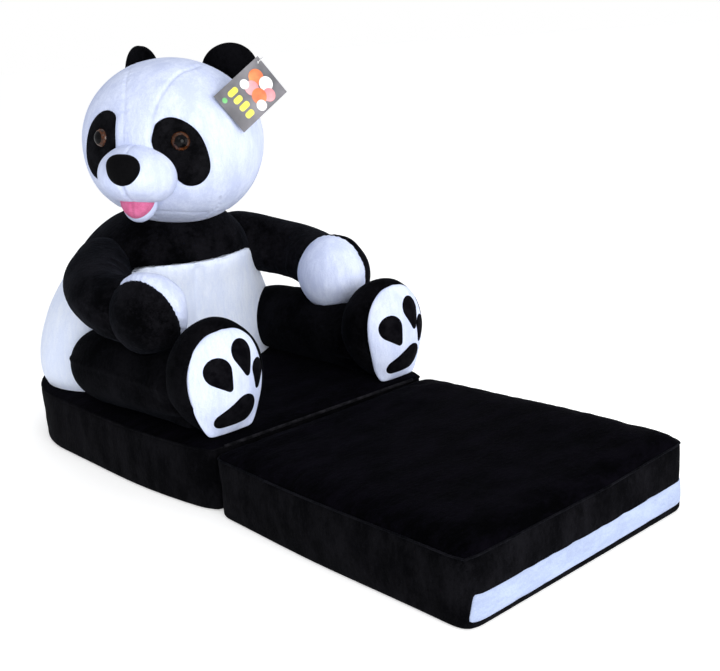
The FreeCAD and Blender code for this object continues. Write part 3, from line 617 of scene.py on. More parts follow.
def end_stripe(mat_skin, rows):
    """White band sewn on the end face, laid over the swollen wall of the cushion."""
    columns = np.arange(SIDE_STEPS + 6) % RING
    centre = np.array([0.0, -MAT_END / 2])
    sheets = []
    for lift in (1.5, -3.0):
        sheet = []
        for row in range(1, 7):
            wall = mat_skin[rows[row][columns]]
            # The left end leans over; the lower edge climbs towards the corner.
            wall[:2] += (wall[1:3] - wall[:2]) * np.array([[1.0], [0.5]]) * (row - 1) / 5
            if row == 1:
                wall[:, 2] += np.linspace(0.5, 4.0, len(columns))
            heading = unit(np.gradient(wall[:, :2], axis=0))
            outward = np.stack([heading[:, 1], -heading[:, 0]], axis=1)
            outward *= np.sign(((wall[:, :2] - centre) * outward).sum(axis=1))[:, None]
            rim = 0.4 if row in (1, 6) and lift > 0 else 1.0
            sheet.append(np.hstack([wall[:, :2] + outward * lift * rim, wall[:, 2:3]]))
        sheets.append(sheet)
    front, back = np.array(sheets).swapaxes(1, 2)
    rings = np.concatenate([front, back[:, ::-1]], axis=1)
    # The band takes the darker white copy, painted shade.
    return make_piece("mat_end_stripe_cloth", *closed_rings(rings), WHITE_STRIPE_PAINTED_SHADE, levels=1)


place(end_stripe(mat_skin, rows), "mat", "white_plush", "mat_end_stripe")


def fold_gusset():
    """Black cloth that joins base and mat along the floor, with a low ridge over the hinge."""
    half, reach = 176.0, 26.0
    ys = np.linspace(-reach, reach, 27)
    profile = np.vstack([np.stack([ys, np.full(27, 0.4)], axis=1),
                         np.stack([ys, 2.4 + 3.0 * bell(ys, 9.0)], axis=1)[::-1]])
    rings = [np.insert(profile, 0, x, axis=1) for x in np.linspace(-half, half, 60)]
    return make_piece("fold_gusset", *closed_rings(rings), LINING)


gusset = fold_gusset()
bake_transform(gusset)
finish(gusset, "black_lining")

# ------------------------------------------------------------------ torso
# Stations: height, half width, half depth, centre depth.
TORSO = [
    (95, 212, 162, 466), (120, 219, 166, 466), (160, 218, 166, 463), (205, 206, 160, 457),
    (250, 185, 151, 445), (300, 156, 142, 427), (340, 128, 122, 411), (368, 96, 92, 400), (384, 62, 60, 396),
]
TORSO_LOW, TORSO_HIGH = TORSO[0][0], TORSO[-1][0]
SEAM_HEIGHT = 300.5
TORSO_COLUMNS = 168


def torso_rings(heights, angles):
    """Rings of the torso; heights may differ round the ring."""
    fine = spline(TORSO, 120)
    cosine, sine = np.cos(angles), np.sin(angles)
    rings = []
    for row in heights:
        level = np.broadcast_to(row, angles.shape)
        half_width, half_depth, centre = (np.interp(level, fine[:, 0], fine[:, k]) for k in (1, 2, 3))
        x = half_width * np.sign(cosine) * np.abs(cosine) ** 0.94
        y = centre + half_depth * np.sign(sine) * np.abs(sine) ** 0.94
        rings.append(np.stack([x, y, level], axis=1))
    return np.array(rings)


def torso_detail(points, normals):
    """Soft lumps, the belly crease and the seams of the torso."""
    x, y, z = points.T
    front = smooth_step(0.1, 0.8, -normals[:, 1])
    off_crease = x + 14 - 4.0 * np.sin(z / 55.0)
    crease = -7.0 * bell(off_crease, 7.0) * front * smooth_step(120, 215, z) * smooth_step(300, 285, z)
    beside = 2.2 * bell(np.abs(off_crease) - 16, 11.0) * front * smooth_step(120, 215, z) * (z < 300)
    puckers = 0.8 * np.sin(x / 3.6 + 2 * np.sin(x / 13)) * bell(z - SEAM_HEIGHT, 14.0)
    back_seam = -2.6 * bell(x, 3.5) * smooth_step(0.3, 0.8, normals[:, 1])
    return 2.6 * fractal(points, 95.0, 5) + crease + beside + puckers + back_seam


def build_torso():
    """White belly and black chest, each closed by a shallow cap behind the seam they share."""
    angles = np.linspace(0, 2 * math.pi, TORSO_COLUMNS, endpoint=False)
    drop = 8.0 * smooth_step(0.62, 0.95, np.abs(np.cos(angles)))
    sway = SEAM_HEIGHT + 1.0 * np.sin(angles * 5) - 3.5 * np.cos(angles) - drop
    lower = [TORSO_LOW + (sway - TORSO_LOW) * t for t in np.linspace(0, 1, 62)]
    upper = [sway + (TORSO_HIGH - sway) * t for t in np.linspace(0, 1, 34)]
    middle = np.array([0.0, 430.0, SEAM_HEIGHT])
    # The white belly takes the lighter white copy, painted light.
    for colour, heights, seam_row, material in (
        ("white", lower, -1, WHITE_BELLY_PAINTED_LIGHT), ("black", upper, 0, BLACK),
    ):
        rings = torso_rings(heights, angles)
        points, faces = closed_rings(rings)
        normals = normals_of(points, faces)
        depth = torso_detail(points, normals)
        count = rings.shape[0] * rings.shape[1]
        from_seam = np.abs(points[:count, 2] - np.tile(sway, len(rings)))
        depth[:count] -= 2.8 * bell(from_seam, 5.0)
        body = (points + normals * depth[:, None])[:count].reshape(rings.shape)
        way = -1 if seam_row == 0 else 1
        cap = [middle + (body[seam_row] - middle) * share + np.array([0, 0, way * rise])
               for share, rise in ((0.97, 1.2), (0.9, 2.4), (0.6, 3.2), (0.25, 3.2))]
        whole = np.concatenate([cap[::-1], body] if seam_row == 0 else [body, cap])
        piece = make_piece("torso_" + colour, *closed_rings(whole), material)
        nodes = ["torso_%s_cover" % colour] + ["torso_stuffing"] * (colour == "white")
        place(piece, "chair", colour + "_plush", *nodes)


build_torso()

# ------------------------------------------------------------------ arms and hands
# Way points from the shoulder pivot: across, along, up, half width, half height.
ARM = [
    (-36, 26, 2, 40, 40), (-4, 0, -3, 52, 51), (28, -36, -12, 53, 51), (50, -74, -22, 51, 50),
    (58, -108, -30, 50, 49), (57, -140, -36, 50, 50), (50, -166, -41, 46, 49),
]
ARM_STEPS = 84
HAND = {"right": np.array([40.0, -203.0, -42.0]), "left": np.array([45.0, -204.0, -50.0])}
HAND_AXES = {"right": np.array([57.0, 62.0, 63.0]), "left": np.array([60.0, 64.0, 66.0])}
PALM_NORMAL = {"right": unit([0.86, 0.34, 0.26]), "left": unit([-0.90, -0.30, 0.05])}
# Room the thigh leaves round the hand that rests on it.
HAND_GAP = 2.5
# How far the seam of the palm lies behind the middle of the hand.
PALM_SHIFT = {"right": 7.0, "left": 1.0}


def hand_centre(word, side):
    return (SHOULDER + HAND[word]) * np.array([side, 1, 1])


def build_sleeve(word, side):
    """Stuffed sleeve along the arm, reaching over the shoulder."""
    table = spline(np.array(ARM) * [side, 1, 1, 1, 1], ARM_STEPS)
    pivot = SHOULDER * np.array([side, 1, 1])
    path = table[:, :3] + pivot
    heading = unit(np.gradient(path, axis=0))
    up = unit(np.array([0, 0, 1.0]) - heading * heading[:, 2:3])
    across = np.cross(heading, up)
    turn = full_turn(72)
    rings = (path[:, None] + table[:, 4, None, None] * turn[:, :1] * up[:, None]
             + table[:, 3, None, None] * turn[:, 1:] * across[:, None])
    ends = []
    for end, way, radius in ((0, -1, 38.0), (-1, 1, 44.0)):
        ends.append([path[end] + (rings[end] - path[end]) * math.cos(t)
                     + way * heading[end] * 0.55 * radius * math.sin(t)
                     for t in np.radians((22, 44, 64, 80))])
    points, faces = closed_rings(np.concatenate([ends[0][::-1], rings, ends[1]]))
    normals = normals_of(points, faces)
    reach = path[-1] - path[0]
    along = np.clip((points - path[0]) @ unit(reach) / np.linalg.norm(reach), 0, 1)
    bend_side = smooth_step(0.0, 0.9, normals @ unit([-side * 0.9, -0.35, 0.1]))
    waves = np.abs(np.sin(along * 21 + lattice_noise(points, 60.0, 41) * 1.4)) ** 0.7
    creases = -2.6 * bell(along - 0.55, 0.26) * bend_side * waves
    from_wrist = points - path[-1]
    around = np.arctan2(from_wrist @ across[-1], from_wrist @ up[-1])
    gathers = 0.5 + 0.5 * np.sin(13 * around + 2 * lattice_noise(points, 50.0, 43))
    wrist = -1.6 * smooth_step(0.8, 1.0, along) * gathers
    nearest = path[(along * (ARM_STEPS - 1)).astype(int)]
    under = -2.0 * bell((points - nearest) @ across[40], 3.0) * smooth_step(0.3, 0.9, -normals[:, 2])
    depth = 2.4 * fractal(points, 62.0, 31 + side) + creases + wrist + under
    sleeve = make_piece(word + "_sleeve", points + normals * depth[:, None], faces, BLACK)
    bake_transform(sleeve)
    finish(sleeve, "black_plush", word + "_arm_cover", word + "_arm_stuffing")


def build_hand(word, side):
    """Black back and white palm, two stuffed halves sewn along a rim."""
    directions, faces = cube_sphere(34)
    swell = 1 + 0.035 * fractal(directions * 50, 34.0, 51 + side)
    swell += 0.05 * bell(directions[:, 2] + 0.6, 0.5) * smooth_step(0, 1, -directions[:, 1])
    skin = directions * HAND_AXES[word] * swell[:, None]
    normal = PALM_NORMAL[word]
    height = skin @ normal + PALM_SHIFT[word]
    skin = skin * (1 - 0.055 * bell(height, 6.0))[:, None]
    tilt = np.arctan2(skin @ np.cross(normal, [0, 0, 1.0]), skin[:, 2])
    puckers = 0.7 * np.sin(tilt * 34 + 2 * np.sin(tilt * 5)) * bell(np.abs(height) - 6, 6.0)
    skin = skin + unit(skin) * puckers[:, None]
    for name, way, material, slot, nodes in (("_hand_back", -1, BLACK, "black_plush", ()),
                                             ("_palm", 1, WHITE, "white_plush", (word + "_palm_cover",))):
        height = (skin @ normal + PALM_SHIFT[word]) * way
        behind = height < -0.6
        flat = skin - normal * way * np.where(behind, height + 0.6, 0.0)[:, None]
        flat = flat * np.where(behind, 0.93, 1.0)[:, None]
        piece = make_piece(word + name, hand_centre(word, side) + flat, faces, material)
        place(piece, word + "_arm", slot, *nodes)


for word, side in SIDES:
    build_sleeve(word, side)
    build_hand(word, side)

# ------------------------------------------------------------------ legs and feet
FOOT_X = {"right": 156.0, "left": 171.0}
FOOT_Z = {"right": BASE_TOP + 87.0, "left": BASE_TOP + 84.0}
FOOT_FRONT = {"right": 4.0, "left": 0.0}
DOME = 26.0
SOLE_HALF = (64.0, 80.0)
SOLE_WIDTH = {"right": 1.0, "left": 0.95}
SOLE_OFFSET = {"right": 0.0, "left": 2.5}
BOOT_HALF = {"right": (76.0, 86.5), "left": (75.0, 83.0)}
LEG_COSINE, LEG_SINE = full_turn(112).T
# Boot stations: distance behind the sole rim, share of the full section.
BOOT = [(-1.0, 0.865), (3.0, 0.915), (9.0, 0.965), (18, 0.995), (30, 0.985), (42, 0.94), (53, 0.86),
        (62, 0.75), (69, 0.60), (73, 0.42), (75, 0.2)]
# Right half of the sole outline: arched top, sides drawn in to a short straight bottom.
SOLE_EDGE = [(0, 75), (26, 70), (48, 53), (61, 27), (64, -2), (59, -32), (50, -58), (41, -75), (33, -80.5),
             (16, -81.5), (0, -81.5)]
# Pads: name, place on each sole (across, up), tip direction, round radius, tip distance, tip radius.
PADS = [
    ("toe_pad_low", {"right": (-25, 20), "left": (-25, 12)}, -62, 20.5, 35, 5.0),
    ("toe_pad_top", {"right": (19, 40), "left": (21, 36)}, -84, 18.5, 36, 5.0),
    ("toe_pad_side", {"right": (48, 8), "left": (46, 4)}, -104, 14.5, 30, 4.5),
    ("heel_pad", {"right": (15, -44), "left": (19, -45)}, 197, 22.0, 50, 12.5),
]
# Thigh stations: depth, half width, half height, side position.
THIGH = [
    (66, 34, 36, 163), (76, 47, 49, 164), (96, 54, 54, 166), (130, 58, 56, 168), (180, 61, 58, 170),
    (240, 63, 60, 172), (300, 64, 61, 173), (345, 62, 59, 172), (376, 52, 51, 171), (394, 34, 33, 170),
    (400, 14, 14, 170),
]


def rest_on_seat(rise, centre, height, softness):
    """Flatten the lower side of a section, softly, where it would sink into the seat."""
    floor = BASE_TOP + 0.5 - centre
    squashed = floor + height * np.exp(np.minimum((rise - floor - height) / softness, 0))
    return np.where(rise < floor + height, squashed, rise)


def build_foot(word, side):
    rim_y = FOOT_FRONT[word] + DOME
    wide, tall = BOOT_HALF[word]
    inner = [(2.0, share) for share in (0.15, 0.45, 0.75, 0.84)]
    taper = 1 - 0.16 * smooth_step(0.1, 1.0, -LEG_SINE)
    rings = []
    for run, share in inner + list(spline(BOOT, 40)):
        x = side * FOOT_X[word] + wide * share * LEG_COSINE * taper
        rise = rest_on_seat(tall * share * LEG_SINE, FOOT_Z[word], 10, 14.0)
        rings.append(np.stack([x, np.full_like(x, rim_y + run), FOOT_Z[word] + rise], axis=1))
    points, faces = closed_rings(rings)
    lumps = 2.0 * fractal(points, 60.0, 61 + side) * smooth_step(rim_y + 2, rim_y + 14, points[:, 1])
    points = points + normals_of(points, faces) * lumps[:, None]
    points[:, 2] = np.maximum(points[:, 2], BASE_TOP - 0.5)
    # The boot takes the darker black copy, painted shade.
    place(make_piece(word + "_foot", points, faces, BLACK_LOW_PAINTED_SHADE), "chair", "black_plush")


def sole_point(word, side, flat, lift):
    """Points of the domed sole from its flat coordinates, lifted off the cloth."""
    share = np.clip(np.hypot(*(flat / SOLE_HALF).T), 0, 1)
    y = FOOT_FRONT[word] + DOME * share ** 2.4 - lift
    return np.stack([side * FOOT_X[word] + flat[:, 0], y, FOOT_Z[word] + flat[:, 1]], axis=-1)


def build_sole(word, side):
    half = spline(SOLE_EDGE, 58)
    edge = np.vstack([half[:-1], (half * MIRROR)[:0:-1]]) * (SOLE_WIDTH[word], 1) + (SOLE_OFFSET[word], 0)
    profile = [(share, 1.5) for share in (0.02, 0.15, 0.3, 0.45, 0.6, 0.75, 0.87, 0.95)]
    profile += [(1.0, 0.2), (0.99, -4.0), (0.9, -7.0), (0.5, -7.0), (0.1, -7.0)]
    rings = [sole_point(word, side, edge * share, lift) for share, lift in profile]
    points, faces = closed_rings(rings)
    points = points + normals_of(points, faces) * (0.9 * fractal(points, 45.0, 71 + side))[:, None]
    sole = make_piece(word + "_sole_cloth", points, faces, WHITE, levels=1)
    place(sole, "chair", "white_plush", word + "_sole")


def drop_edge(round_radius, tip, tip_radius, direction):
    """Closed outline of a drop: round end at the origin, smaller round end towards its tip."""
    reach = tip - tip_radius
    touch = math.acos((round_radius - tip_radius) / reach)
    wide = round_radius * circle(np.linspace(touch, 2 * math.pi - touch, 40))
    narrow = tip_radius * circle(np.linspace(-touch, touch, 16)) + (reach, 0.0)
    outline = resample(np.vstack([wide, narrow, wide[:1]]), 72)
    return outline @ rotation(direction, "Z")[:2, :2].T


def build_pad(word, side, name, places, direction, radius, tip, tip_radius):
    outline = drop_edge(radius, tip, tip_radius, direction)
    centre = outline.mean(axis=0)
    rings = []
    for share, lift in ((0.06, 4.0), (0.3, 4.0), (0.6, 3.8), (0.85, 3.3), (0.96, 2.6), (1.0, 1.6),
                        (0.98, -1.5), (0.5, -2.0), (0.1, -2.0)):
        rings.append(sole_point(word, side, places[word] + centre + (outline - centre) * share, lift))
    name = "%s_%s" % (word, name)
    place(make_piece(name + "_cloth", *closed_rings(rings), PAD_GREY), "chair", "black_plush", name)


def build_thigh(word, side):
    """Thigh lying on the seat, with a dent where the hand rests on it."""
    rings = []
    for depth, wide, tall, x in spline(THIGH, 90):
        centre = BASE_TOP + (1 + min(tall + 4.0, 62.0) if depth < 300 else 62.0)
        rise = rest_on_seat(tall * LEG_SINE, centre, 9, 12.0)
        across = side * x + wide * LEG_COSINE
        rings.append(np.stack([across, np.full_like(across, depth), centre + rise], axis=1))
    points, faces = closed_rings(rings)
    x, y, z = points.T
    around = np.arctan2(z - BASE_TOP - 55, (x - side * 168) * side)
    near_ankle = np.exp(-np.maximum(y - 82, 0) / 45.0)
    folds = 4.2 * near_ankle * np.sin(around * 9 + 2.2 * lattice_noise(points, 70.0, 81 + side))
    folds -= 2.2 * bell(y - 104 - 8 * lattice_noise(points, 45.0, 87 + side), 7.0) * (around > 0)
    seam = -2.4 * bell((around - 0.35) * 60, 3.2) * (y > 100)
    depth = folds + 3.0 * fractal(points, 75.0, 83 + side) + seam
    points = points + normals_of(points, faces) * depth[:, None]
    hand, hollow = hand_centre(word, side), HAND_AXES[word] + HAND_GAP
    off_hand = (((points - hand) / hollow)[:, :2] ** 2).sum(axis=1)
    under = hand[2] - hollow[2] * np.sqrt(np.clip(1 - off_hand, 0, 1))
    pressed = (off_hand < 1) & (points[:, 2] > under)
    points[:, 2] = np.where(pressed, np.maximum(under, BASE_TOP + 30), points[:, 2])
    points[:, 2] = np.maximum(points[:, 2], BASE_TOP - 1)
    # The thigh takes the darker black copy, painted shade.
    thigh = make_piece(word + "_thigh", points, faces, BLACK_LOW_PAINTED_SHADE)
    place(thigh, "chair", "black_plush", word + "_leg_cover", word + "_leg_stuffing")


for word, side in SIDES:
    build_foot(word, side)
    build_thigh(word, side)
    build_sole(word, side)
    for pad in PADS:
        build_pad(word, side, *pad)

# ------------------------------------------------------------------ head
MUZZLE_CENTRE = np.array([-2.5, -126.0, -51.0])
MUZZLE_AXES = np.array([63.5, 62.0, 45.5])
EYE_YAW, EYE_PITCH, EYE_REACH = 28.0, 0.5, 148.0
# Eye patch outlines in yaw and pitch, drawn out downwards and outwards.
PATCHES = {
    "right": [(15, 3), (16, 14), (23, 18), (32, 16), (40, 8), (45, -5), (47, -16), (42, -24), (33, -26),
              (25, -20), (18, -12), (15, -6)],
    "left": [(10, 1), (12, 10), (20, 15), (30, 13), (39, 6), (45, -6), (47, -17), (42, -25), (33, -27),
             (25, -22), (18, -12), (12, -6)],
}


def bearing(yaw, pitch):
    """Head-frame direction; yaw from the face towards the head's left, pitch upwards."""
    yaw, pitch = np.radians(yaw), np.radians(pitch)
    return np.stack([np.sin(yaw) * np.cos(pitch), -np.cos(yaw) * np.cos(pitch), np.sin(pitch)], axis=-1)


def head_skin(directions):
    """Surface of the stuffed head along unit directions, before its seams."""
    axes = np.where(directions[:, 2:3] > 0, HEAD_AXES - np.array([0, 0, CROWN_DROP]), HEAD_AXES)
    radius = 1 / np.sqrt(((directions / axes) ** 2).sum(axis=1))
    face = smooth_step(0.55, 1.0, -directions[:, 1])
    cheeks = 4.0 * bell(np.abs(directions[:, 0]) - 0.55, 0.3) * bell(directions[:, 2] + 0.45, 0.35)
    radius += cheeks - 5.0 * face + 1.4 * fractal(directions * 100, 70.0, 91)
    return directions * radius[:, None]


def seam_line(side, *stops):
    """Points on the head surface under a curve of (yaw, pitch) stops, mirrored for the right side."""
    return head_skin(bearing(*(spline(stops, 40) * (side, 1)).T))


# Seams of the head: depth of the groove, line.
SEAMS = [
    (2.4, seam_line(1, (-2, -62), (-4, -50), (0, -40))),
    (3.2, seam_line(1, (180, 74), (180, 40), (180, 0), (180, -40), (180, -64))),
]
for _, side in SIDES:
    SEAMS += [
        (1.9 + 0.6 * side, seam_line(side, (9, 0), (10.5, 18), (17, 35), (30, 50), (60, 62))),
        (3.2, seam_line(side, (118, 58), (140, 30), (150, 0), (150, -40), (140, -62))),
        (2.4, seam_line(side, (72, -66), (68, -48), (62, -36))),
    ]


def patch_outline(word, side):
    closed = PATCHES[word] + PATCHES[word][:2]
    return spline(closed, 102)[7:95] * np.array([side, 1])


def eye_hollow(points):
    """How deep the eyes pull the skin in."""
    total = np.zeros(len(points))
    for _, side in SIDES:
        socket = bearing(side * EYE_YAW, EYE_PITCH) * EYE_REACH
        total += 3.0 * bell(np.linalg.norm(points - socket, axis=1), 22.0)
    return total


def build_head():
    directions, faces = cube_sphere(92)
    points = head_skin(directions)
    depth = -eye_hollow(points)
    for groove, line in SEAMS:
        distance, along = polyline_distance(points, line)
        depth -= groove * bell(distance, 3.0)
        depth += 0.5 * np.sin(along / 2.4 + 2 * np.sin(along / 9)) * bell(distance - 5, 5.0)
    for word, side in SIDES:
        rim = head_skin(bearing(*patch_outline(word, side).T))
        distance, _ = polyline_distance(points, np.vstack([rim, rim[:1]]))
        depth -= 1.5 * bell(distance, 3.0)
    chin = np.array([0.0, 0.0, -140.0])
    depth -= 1.0 * bell(np.linalg.norm(points - chin, axis=1) - 92, 4.0)
    return make_piece("head_plush", on_head(points + directions * depth[:, None]), faces, WHITE)


def build_patch(word, side):
    edge = patch_outline(word, side)
    middle = np.array([side * 29.0, -6.0])
    rings = []
    profile = [(share, 1.7) for share in (0.02, 0.15, 0.3, 0.45, 0.6, 0.75)]
    profile += [(0.87, 1.6), (0.95, 1.2), (1.0, 0.2), (0.995, -3.0), (0.8, -5.0), (0.4, -5.0), (0.1, -5.0)]
    for share, lift in profile:
        direction = bearing(*(middle + (edge - middle) * share).T)
        skin = head_skin(direction)
        rings.append(on_head(skin + direction * (lift - eye_hollow(skin))[:, None]))
    patch = make_piece(word + "_eye_patch_cloth", *closed_rings(rings), BLACK_DEEP, levels=1)
    place(patch, "head", "black_plush", word + "_eye_patch")


def build_eye(word, side):
    """Brown glossy dome with a black pupil on it."""
    direction = bearing(side * EYE_YAW, EYE_PITCH)
    up = unit(np.array([0, 0, 1.0]) - direction * direction[2])
    basis = np.stack([np.cross(up, direction), up, direction], axis=1)
    seat = head_skin(direction[None])[0] - direction * 2.2
    turn = full_turn(48)
    for name, radius, bulge, low, material, nodes in (
        ("_eye_iris", 15.0, 9.5, 0.0, IRIS, (word + "_eye",)),
        ("_eye_pupil", 10.0, 3.4, 6.35, PUPIL, ()),
    ):
        ball = (radius ** 2 + bulge ** 2) / (2 * bulge)
        profile = [(share, math.sqrt(ball ** 2 - (radius * share) ** 2) - (ball - bulge))
                   for share in np.linspace(0.02, 1.0, 16)]
        profile += [(1.02, -1.0), (0.98, -3.0), (0.5, -3.2), (0.05, -3.2)]
        rings = [np.insert(radius * share * turn, 2, low + rise, axis=1) for share, rise in profile]
        points, faces = closed_rings(rings)
        dome = make_piece(word + name, on_head(seat + points @ basis.T), faces, material, levels=1)
        place(dome, "head", "eye_plastic", *nodes)


def build_muzzle():
    directions, faces = cube_sphere(52)
    points = directions * MUZZLE_AXES
    x, y, z = points.T
    cheeks = 3.0 * bell(np.abs(directions[:, 0]) - 0.6, 0.35) * smooth_step(0.2, -0.5, directions[:, 2])
    split = -3.6 * bell(x, 3.4) * smooth_step(-2, -16, z) * smooth_step(0.2, 0.7, -directions[:, 1])
    top_seam = -1.4 * bell(x, 2.4) * smooth_step(6, 20, z)
    depth = cheeks + split + top_seam + 1.0 * fractal(points, 40.0, 95)
    points = points + directions * depth[:, None] + MUZZLE_CENTRE
    return make_piece("muzzle_plush", on_head(points), faces, WHITE)


def build_nose():
    directions, faces = cube_sphere(26)
    x, y, z = directions.T
    turn = np.arctan2(z, x)
    square = (np.abs(np.cos(turn)) ** 2.6 + np.abs(np.sin(turn)) ** 2.6) ** (-1 / 2.6)
    wide = 1 + 0.12 * z - 0.10 * z ** 2
    shape = np.stack([x * square * 27.0 * wide, y * 15, z * square * 24.5], axis=1)
    dent = 0.8 * bell(shape[:, 0], 4.0) * smooth_step(-4, -18, shape[:, 2])
    shape = (shape - directions * dent[:, None]) @ rotation(8, "X").T
    return make_piece("nose_cloth", on_head(shape + np.array([-1.5, -181.0, -45.5])), faces, NOSE)


def build_jaw(name, axes, widening, groove_depth, tilt, centre, material):
    """Tilted ball, wider at the top, with a groove down its front."""
    directions, faces = cube_sphere(30)
    shape = directions * np.array(axes)
    shape[:, 0] *= 1 + widening * directions[:, 2]
    groove = groove_depth * bell(directions[:, 0] * 27, 3.0) * smooth_step(0.1, 0.7, -directions[:, 1])
    shape = (shape - directions * groove[:, None]) @ rotation(tilt, "X").T
    return make_piece(name, on_head(shape + np.array(centre)), faces, material)


def build_ear(word, side):
    """Stuffed two-sided ear, cupped in front, with a sewn rim."""
    directions, faces = cube_sphere(30)
    x, y, z = directions.T
    shape = directions * np.array([49.0, 15.0, 45.0])
    inside = np.clip(1 - (x ** 2 + z ** 2) / 0.75, 0, 1)
    shape[:, 1] += 9.0 * smooth_step(0.1, 0.9, -y) * inside + 7.0 * x ** 2
    shape -= directions * (2.2 * bell(y * 15, 2.6))[:, None]
    centre = np.array([side * 83.0, 38.0, 120.0 if side > 0 else 112.0])
    points = on_head(shape @ rotation(side * 33, "Z").T + centre)
    # The ear takes the darker black copy, painted shade.
    ear = make_piece(word + "_ear_plush", points, faces, BLACK_LOW_PAINTED_SHADE)
    place(ear, "head", "black_plush", word + "_ear_cover", word + "_ear_stuffing")


place(build_head(), "head", "white_plush", "head_cover", "head_stuffing", "right_eye_washer",
      "left_eye_washer")
place(build_muzzle(), "head", "white_plush", "muzzle_cover", "muzzle_stuffing")
place(build_nose(), "head", "nose_cloth", "nose_pad")
lip = build_jaw("lower_lip_plush", (28.0, 22.5, 27.0), 0.12, 0.0, -14, (-5.0, -118.0, -100.5), WHITE)
place(lip, "head", "white_plush", "lower_lip")
tongue = build_jaw("tongue_plush", (27.5, 20.0, 26.0), 0.16, 1.6, -16, (-4.5, -127.5, -95.5), PINK)
place(tongue, "head", "pink_plush", "tongue")
for word, side in SIDES:
    build_patch(word, side)
    build_eye(word, side)
    build_ear(word, side)

# ------------------------------------------------------------------ hang tag
TAG_CORNER = np.array([150.7, -22.8, 138.3])
TAG_RIGHT = unit([0.587, 0.338, -0.735])
TAG_UP = np.array([0.453, 0.615, 0.645])
TAG_UP = unit(TAG_UP - TAG_RIGHT * (TAG_UP @ TAG_RIGHT))
TAG_BASIS = np.stack([TAG_RIGHT, TAG_UP, np.cross(TAG_RIGHT, TAG_UP)], axis=1)
PRINT_LOW, PRINT_HIGH = 0.35, 0.62


def print_shape(name, outline, material, extra=0.0):
    """Flat printed shape on the tag: X along its top edge, Y up, Z out of the printed face."""
    centre = outline.mean(axis=0)
    top = PRINT_HIGH + extra
    rings = []
    for share, level in ((0.02, top), (0.5, top), (0.97, top), (1.0, (PRINT_LOW + top) / 2),
                         (0.97, PRINT_LOW), (0.5, PRINT_LOW), (0.02, PRINT_LOW)):
        rings.append(np.insert(centre + (outline - centre) * share, 2, level, axis=1))
    points, faces = closed_rings(rings)
    place(make_piece(name, on_head(TAG_CORNER + points @ TAG_BASIS.T), faces, material), "tag", "tag_card")


def disc(x, y, radius):
    return (x, y) + radius * full_turn(36)


def round_bar(left, right, low, high, radius):
    left, right, low, high = left + radius, right - radius, low + radius, high - radius
    quarters = ((right, high, 0), (left, high, 90), (left, low, 180), (right, low, 270))
    return np.vstack([(x, y) + radius * circle(np.radians(start + np.linspace(0, 90, 9)))
                      for x, y, start in quarters])


for node, material in (("hang_tag", TAG_GREY), ("tag_loop", NYLON)):
    frame["nodes"][node].data.materials.clear()
    frame["nodes"][node].data.materials.append(material)
# Generic print: a bunch of plain balls above, a wavy row of bars and a dot below.
for number, (x, y, radius, material) in enumerate([
    (22, -26, 13, TAG_ORANGE), (40, -20, 12, TAG_WHITE), (56, -28, 11, TAG_PINK), (30, -44, 12, TAG_PINK),
    (47, -43, 13, TAG_ORANGE), (60, -50, 9, TAG_WHITE), (18, -50, 8, TAG_WHITE),
]):
    print_shape("tag_ball_%d" % number, disc(x, y, radius), material, 0.05 * number)
for number, left in enumerate((10, 24, 38, 52)):
    bar = round_bar(left, left + 10, -84, -64 - 3 * (number % 2), 4.5)
    print_shape("tag_bar_%d" % number, bar, TAG_YELLOW)
print_shape("tag_dot", disc(16, -94, 4.5), TAG_GREEN)

# ------------------------------------------------------------------ studio, all in metres
FLOOR = 60.0
MAT_LENGTH, MAT_HEIGHT = 0.488, 0.118
floor_mesh = bpy.data.meshes.new("studio_floor")
floor_mesh.from_pydata([(-FLOOR, -FLOOR, 0), (FLOOR, -FLOOR, 0), (FLOOR, FLOOR, 0), (-FLOOR, FLOOR, 0)], [],
                       [(0, 1, 2, 3)])
floor = bpy.data.objects.new("studio_floor", floor_mesh)
scene.collection.objects.link(floor)
paper, paper_tree = new_material("studio_paper")
wire(paper_tree, paper_tree.nodes["Principled BSDF"], {
    "Base Color": (0.985, 0.98, 0.975, 1), "Roughness": 0.9, "Specular IOR Level": 0.1,
    "Emission Color": (1, 1, 1, 1), "Emission Strength": 0.38,
})
floor_mesh.materials.append(paper)

# The folded mat lies under the chair, so the studio floor sinks by as much as the mat reaches down.
sink = floor.driver_add("location", 2).driver
sink.type = "SCRIPTED"
angle = sink.variables.new()
angle.name = "q"
angle.type = "TRANSFORMS"
angle.targets[0].id = frame["bodies"]["mat"]
angle.targets[0].transform_type = "ROT_X"
angle.targets[0].transform_space = "WORLD_SPACE"
sink.expression = "-(%g * abs(sin(q)) + %g * max(0, -cos(q)))" % (MAT_LENGTH, MAT_HEIGHT)

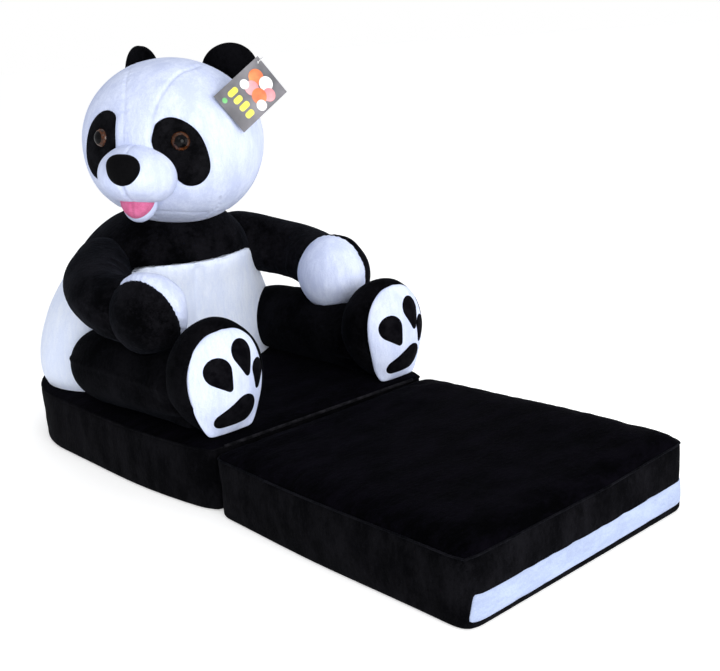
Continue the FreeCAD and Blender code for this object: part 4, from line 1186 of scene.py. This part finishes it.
# Soft cool light from all round, and a plain white backdrop for the camera alone.
world = bpy.data.worlds.new("studio_light")
scene.world = world
world.use_nodes = True
sky = world.node_tree
ambient = wire(sky, sky.nodes["Background"], {"Color": (0.96, 0.975, 1.0, 1), "Strength": 0.66})
backdrop = add_node(sky, "Background", {"Color": (1, 1, 1, 1), "Strength": 1.0})
seen = add_node(sky, "LightPath", {})
mix = add_node(sky, "MixShader", {
    0: seen.outputs["Is Camera Ray"], 1: ambient.outputs[0], 2: backdrop.outputs[0],
})
wire(sky, sky.nodes["World Output"], {"Surface": mix.outputs[0]})


def soft_light(name, location, target, size, power):
    data = bpy.data.lights.new(name, "AREA")
    data.shape = "DISK"
    data.size = size
    data.energy = power
    lamp = bpy.data.objects.new(name, data)
    scene.collection.objects.link(lamp)
    lamp.location = location
    lamp.rotation_euler = (Vector(target) - Vector(location)).to_track_quat("-Z", "Y").to_euler()


soft_light("front", (-0.75, -2.7, 0.8), (0, 0.1, 0.3), 1.8, 60)
soft_light("key", (-2.0, -1.6, 2.4), (0, 0.1, 0.2), 1.4, 8)
soft_light("fill", (1.7, -2.3, 0.7), (0, 0, 0.3), 1.8, 17)
soft_light("top", (0.2, 0.6, 2.8), (0, 0.1, 0.2), 2.0, 6)

scene.view_settings.view_transform = "Standard"
scene.view_settings.look = "None"

CAMERA_BEARING, CAMERA_RISE, CAMERA_ROLL = -40.604, 15.359, -4.2725
CAMERA_DISTANCE = 1.6238
CAMERA_TARGET = (0.0463, -0.0364, 0.2092)
CAMERA_LENS, SENSOR = 54.22, 36.0
camera_data = bpy.data.cameras.new("studio_camera")
camera_data.lens = CAMERA_LENS
camera_data.sensor_width = SENSOR
camera_data.clip_start = 0.05
camera = bpy.data.objects.new("studio_camera", camera_data)
scene.collection.objects.link(camera)
turn, tilt, roll = (Matrix.Rotation(math.radians(degrees), 4, axis) for degrees, axis in (
    (CAMERA_BEARING, "Z"), (90 - CAMERA_RISE, "X"), (CAMERA_ROLL, "Z")))
back_off = Matrix.Translation((0, 0, CAMERA_DISTANCE))
camera.matrix_world = Matrix.Translation(CAMERA_TARGET) @ turn @ tilt @ roll @ back_off
scene.camera = camera
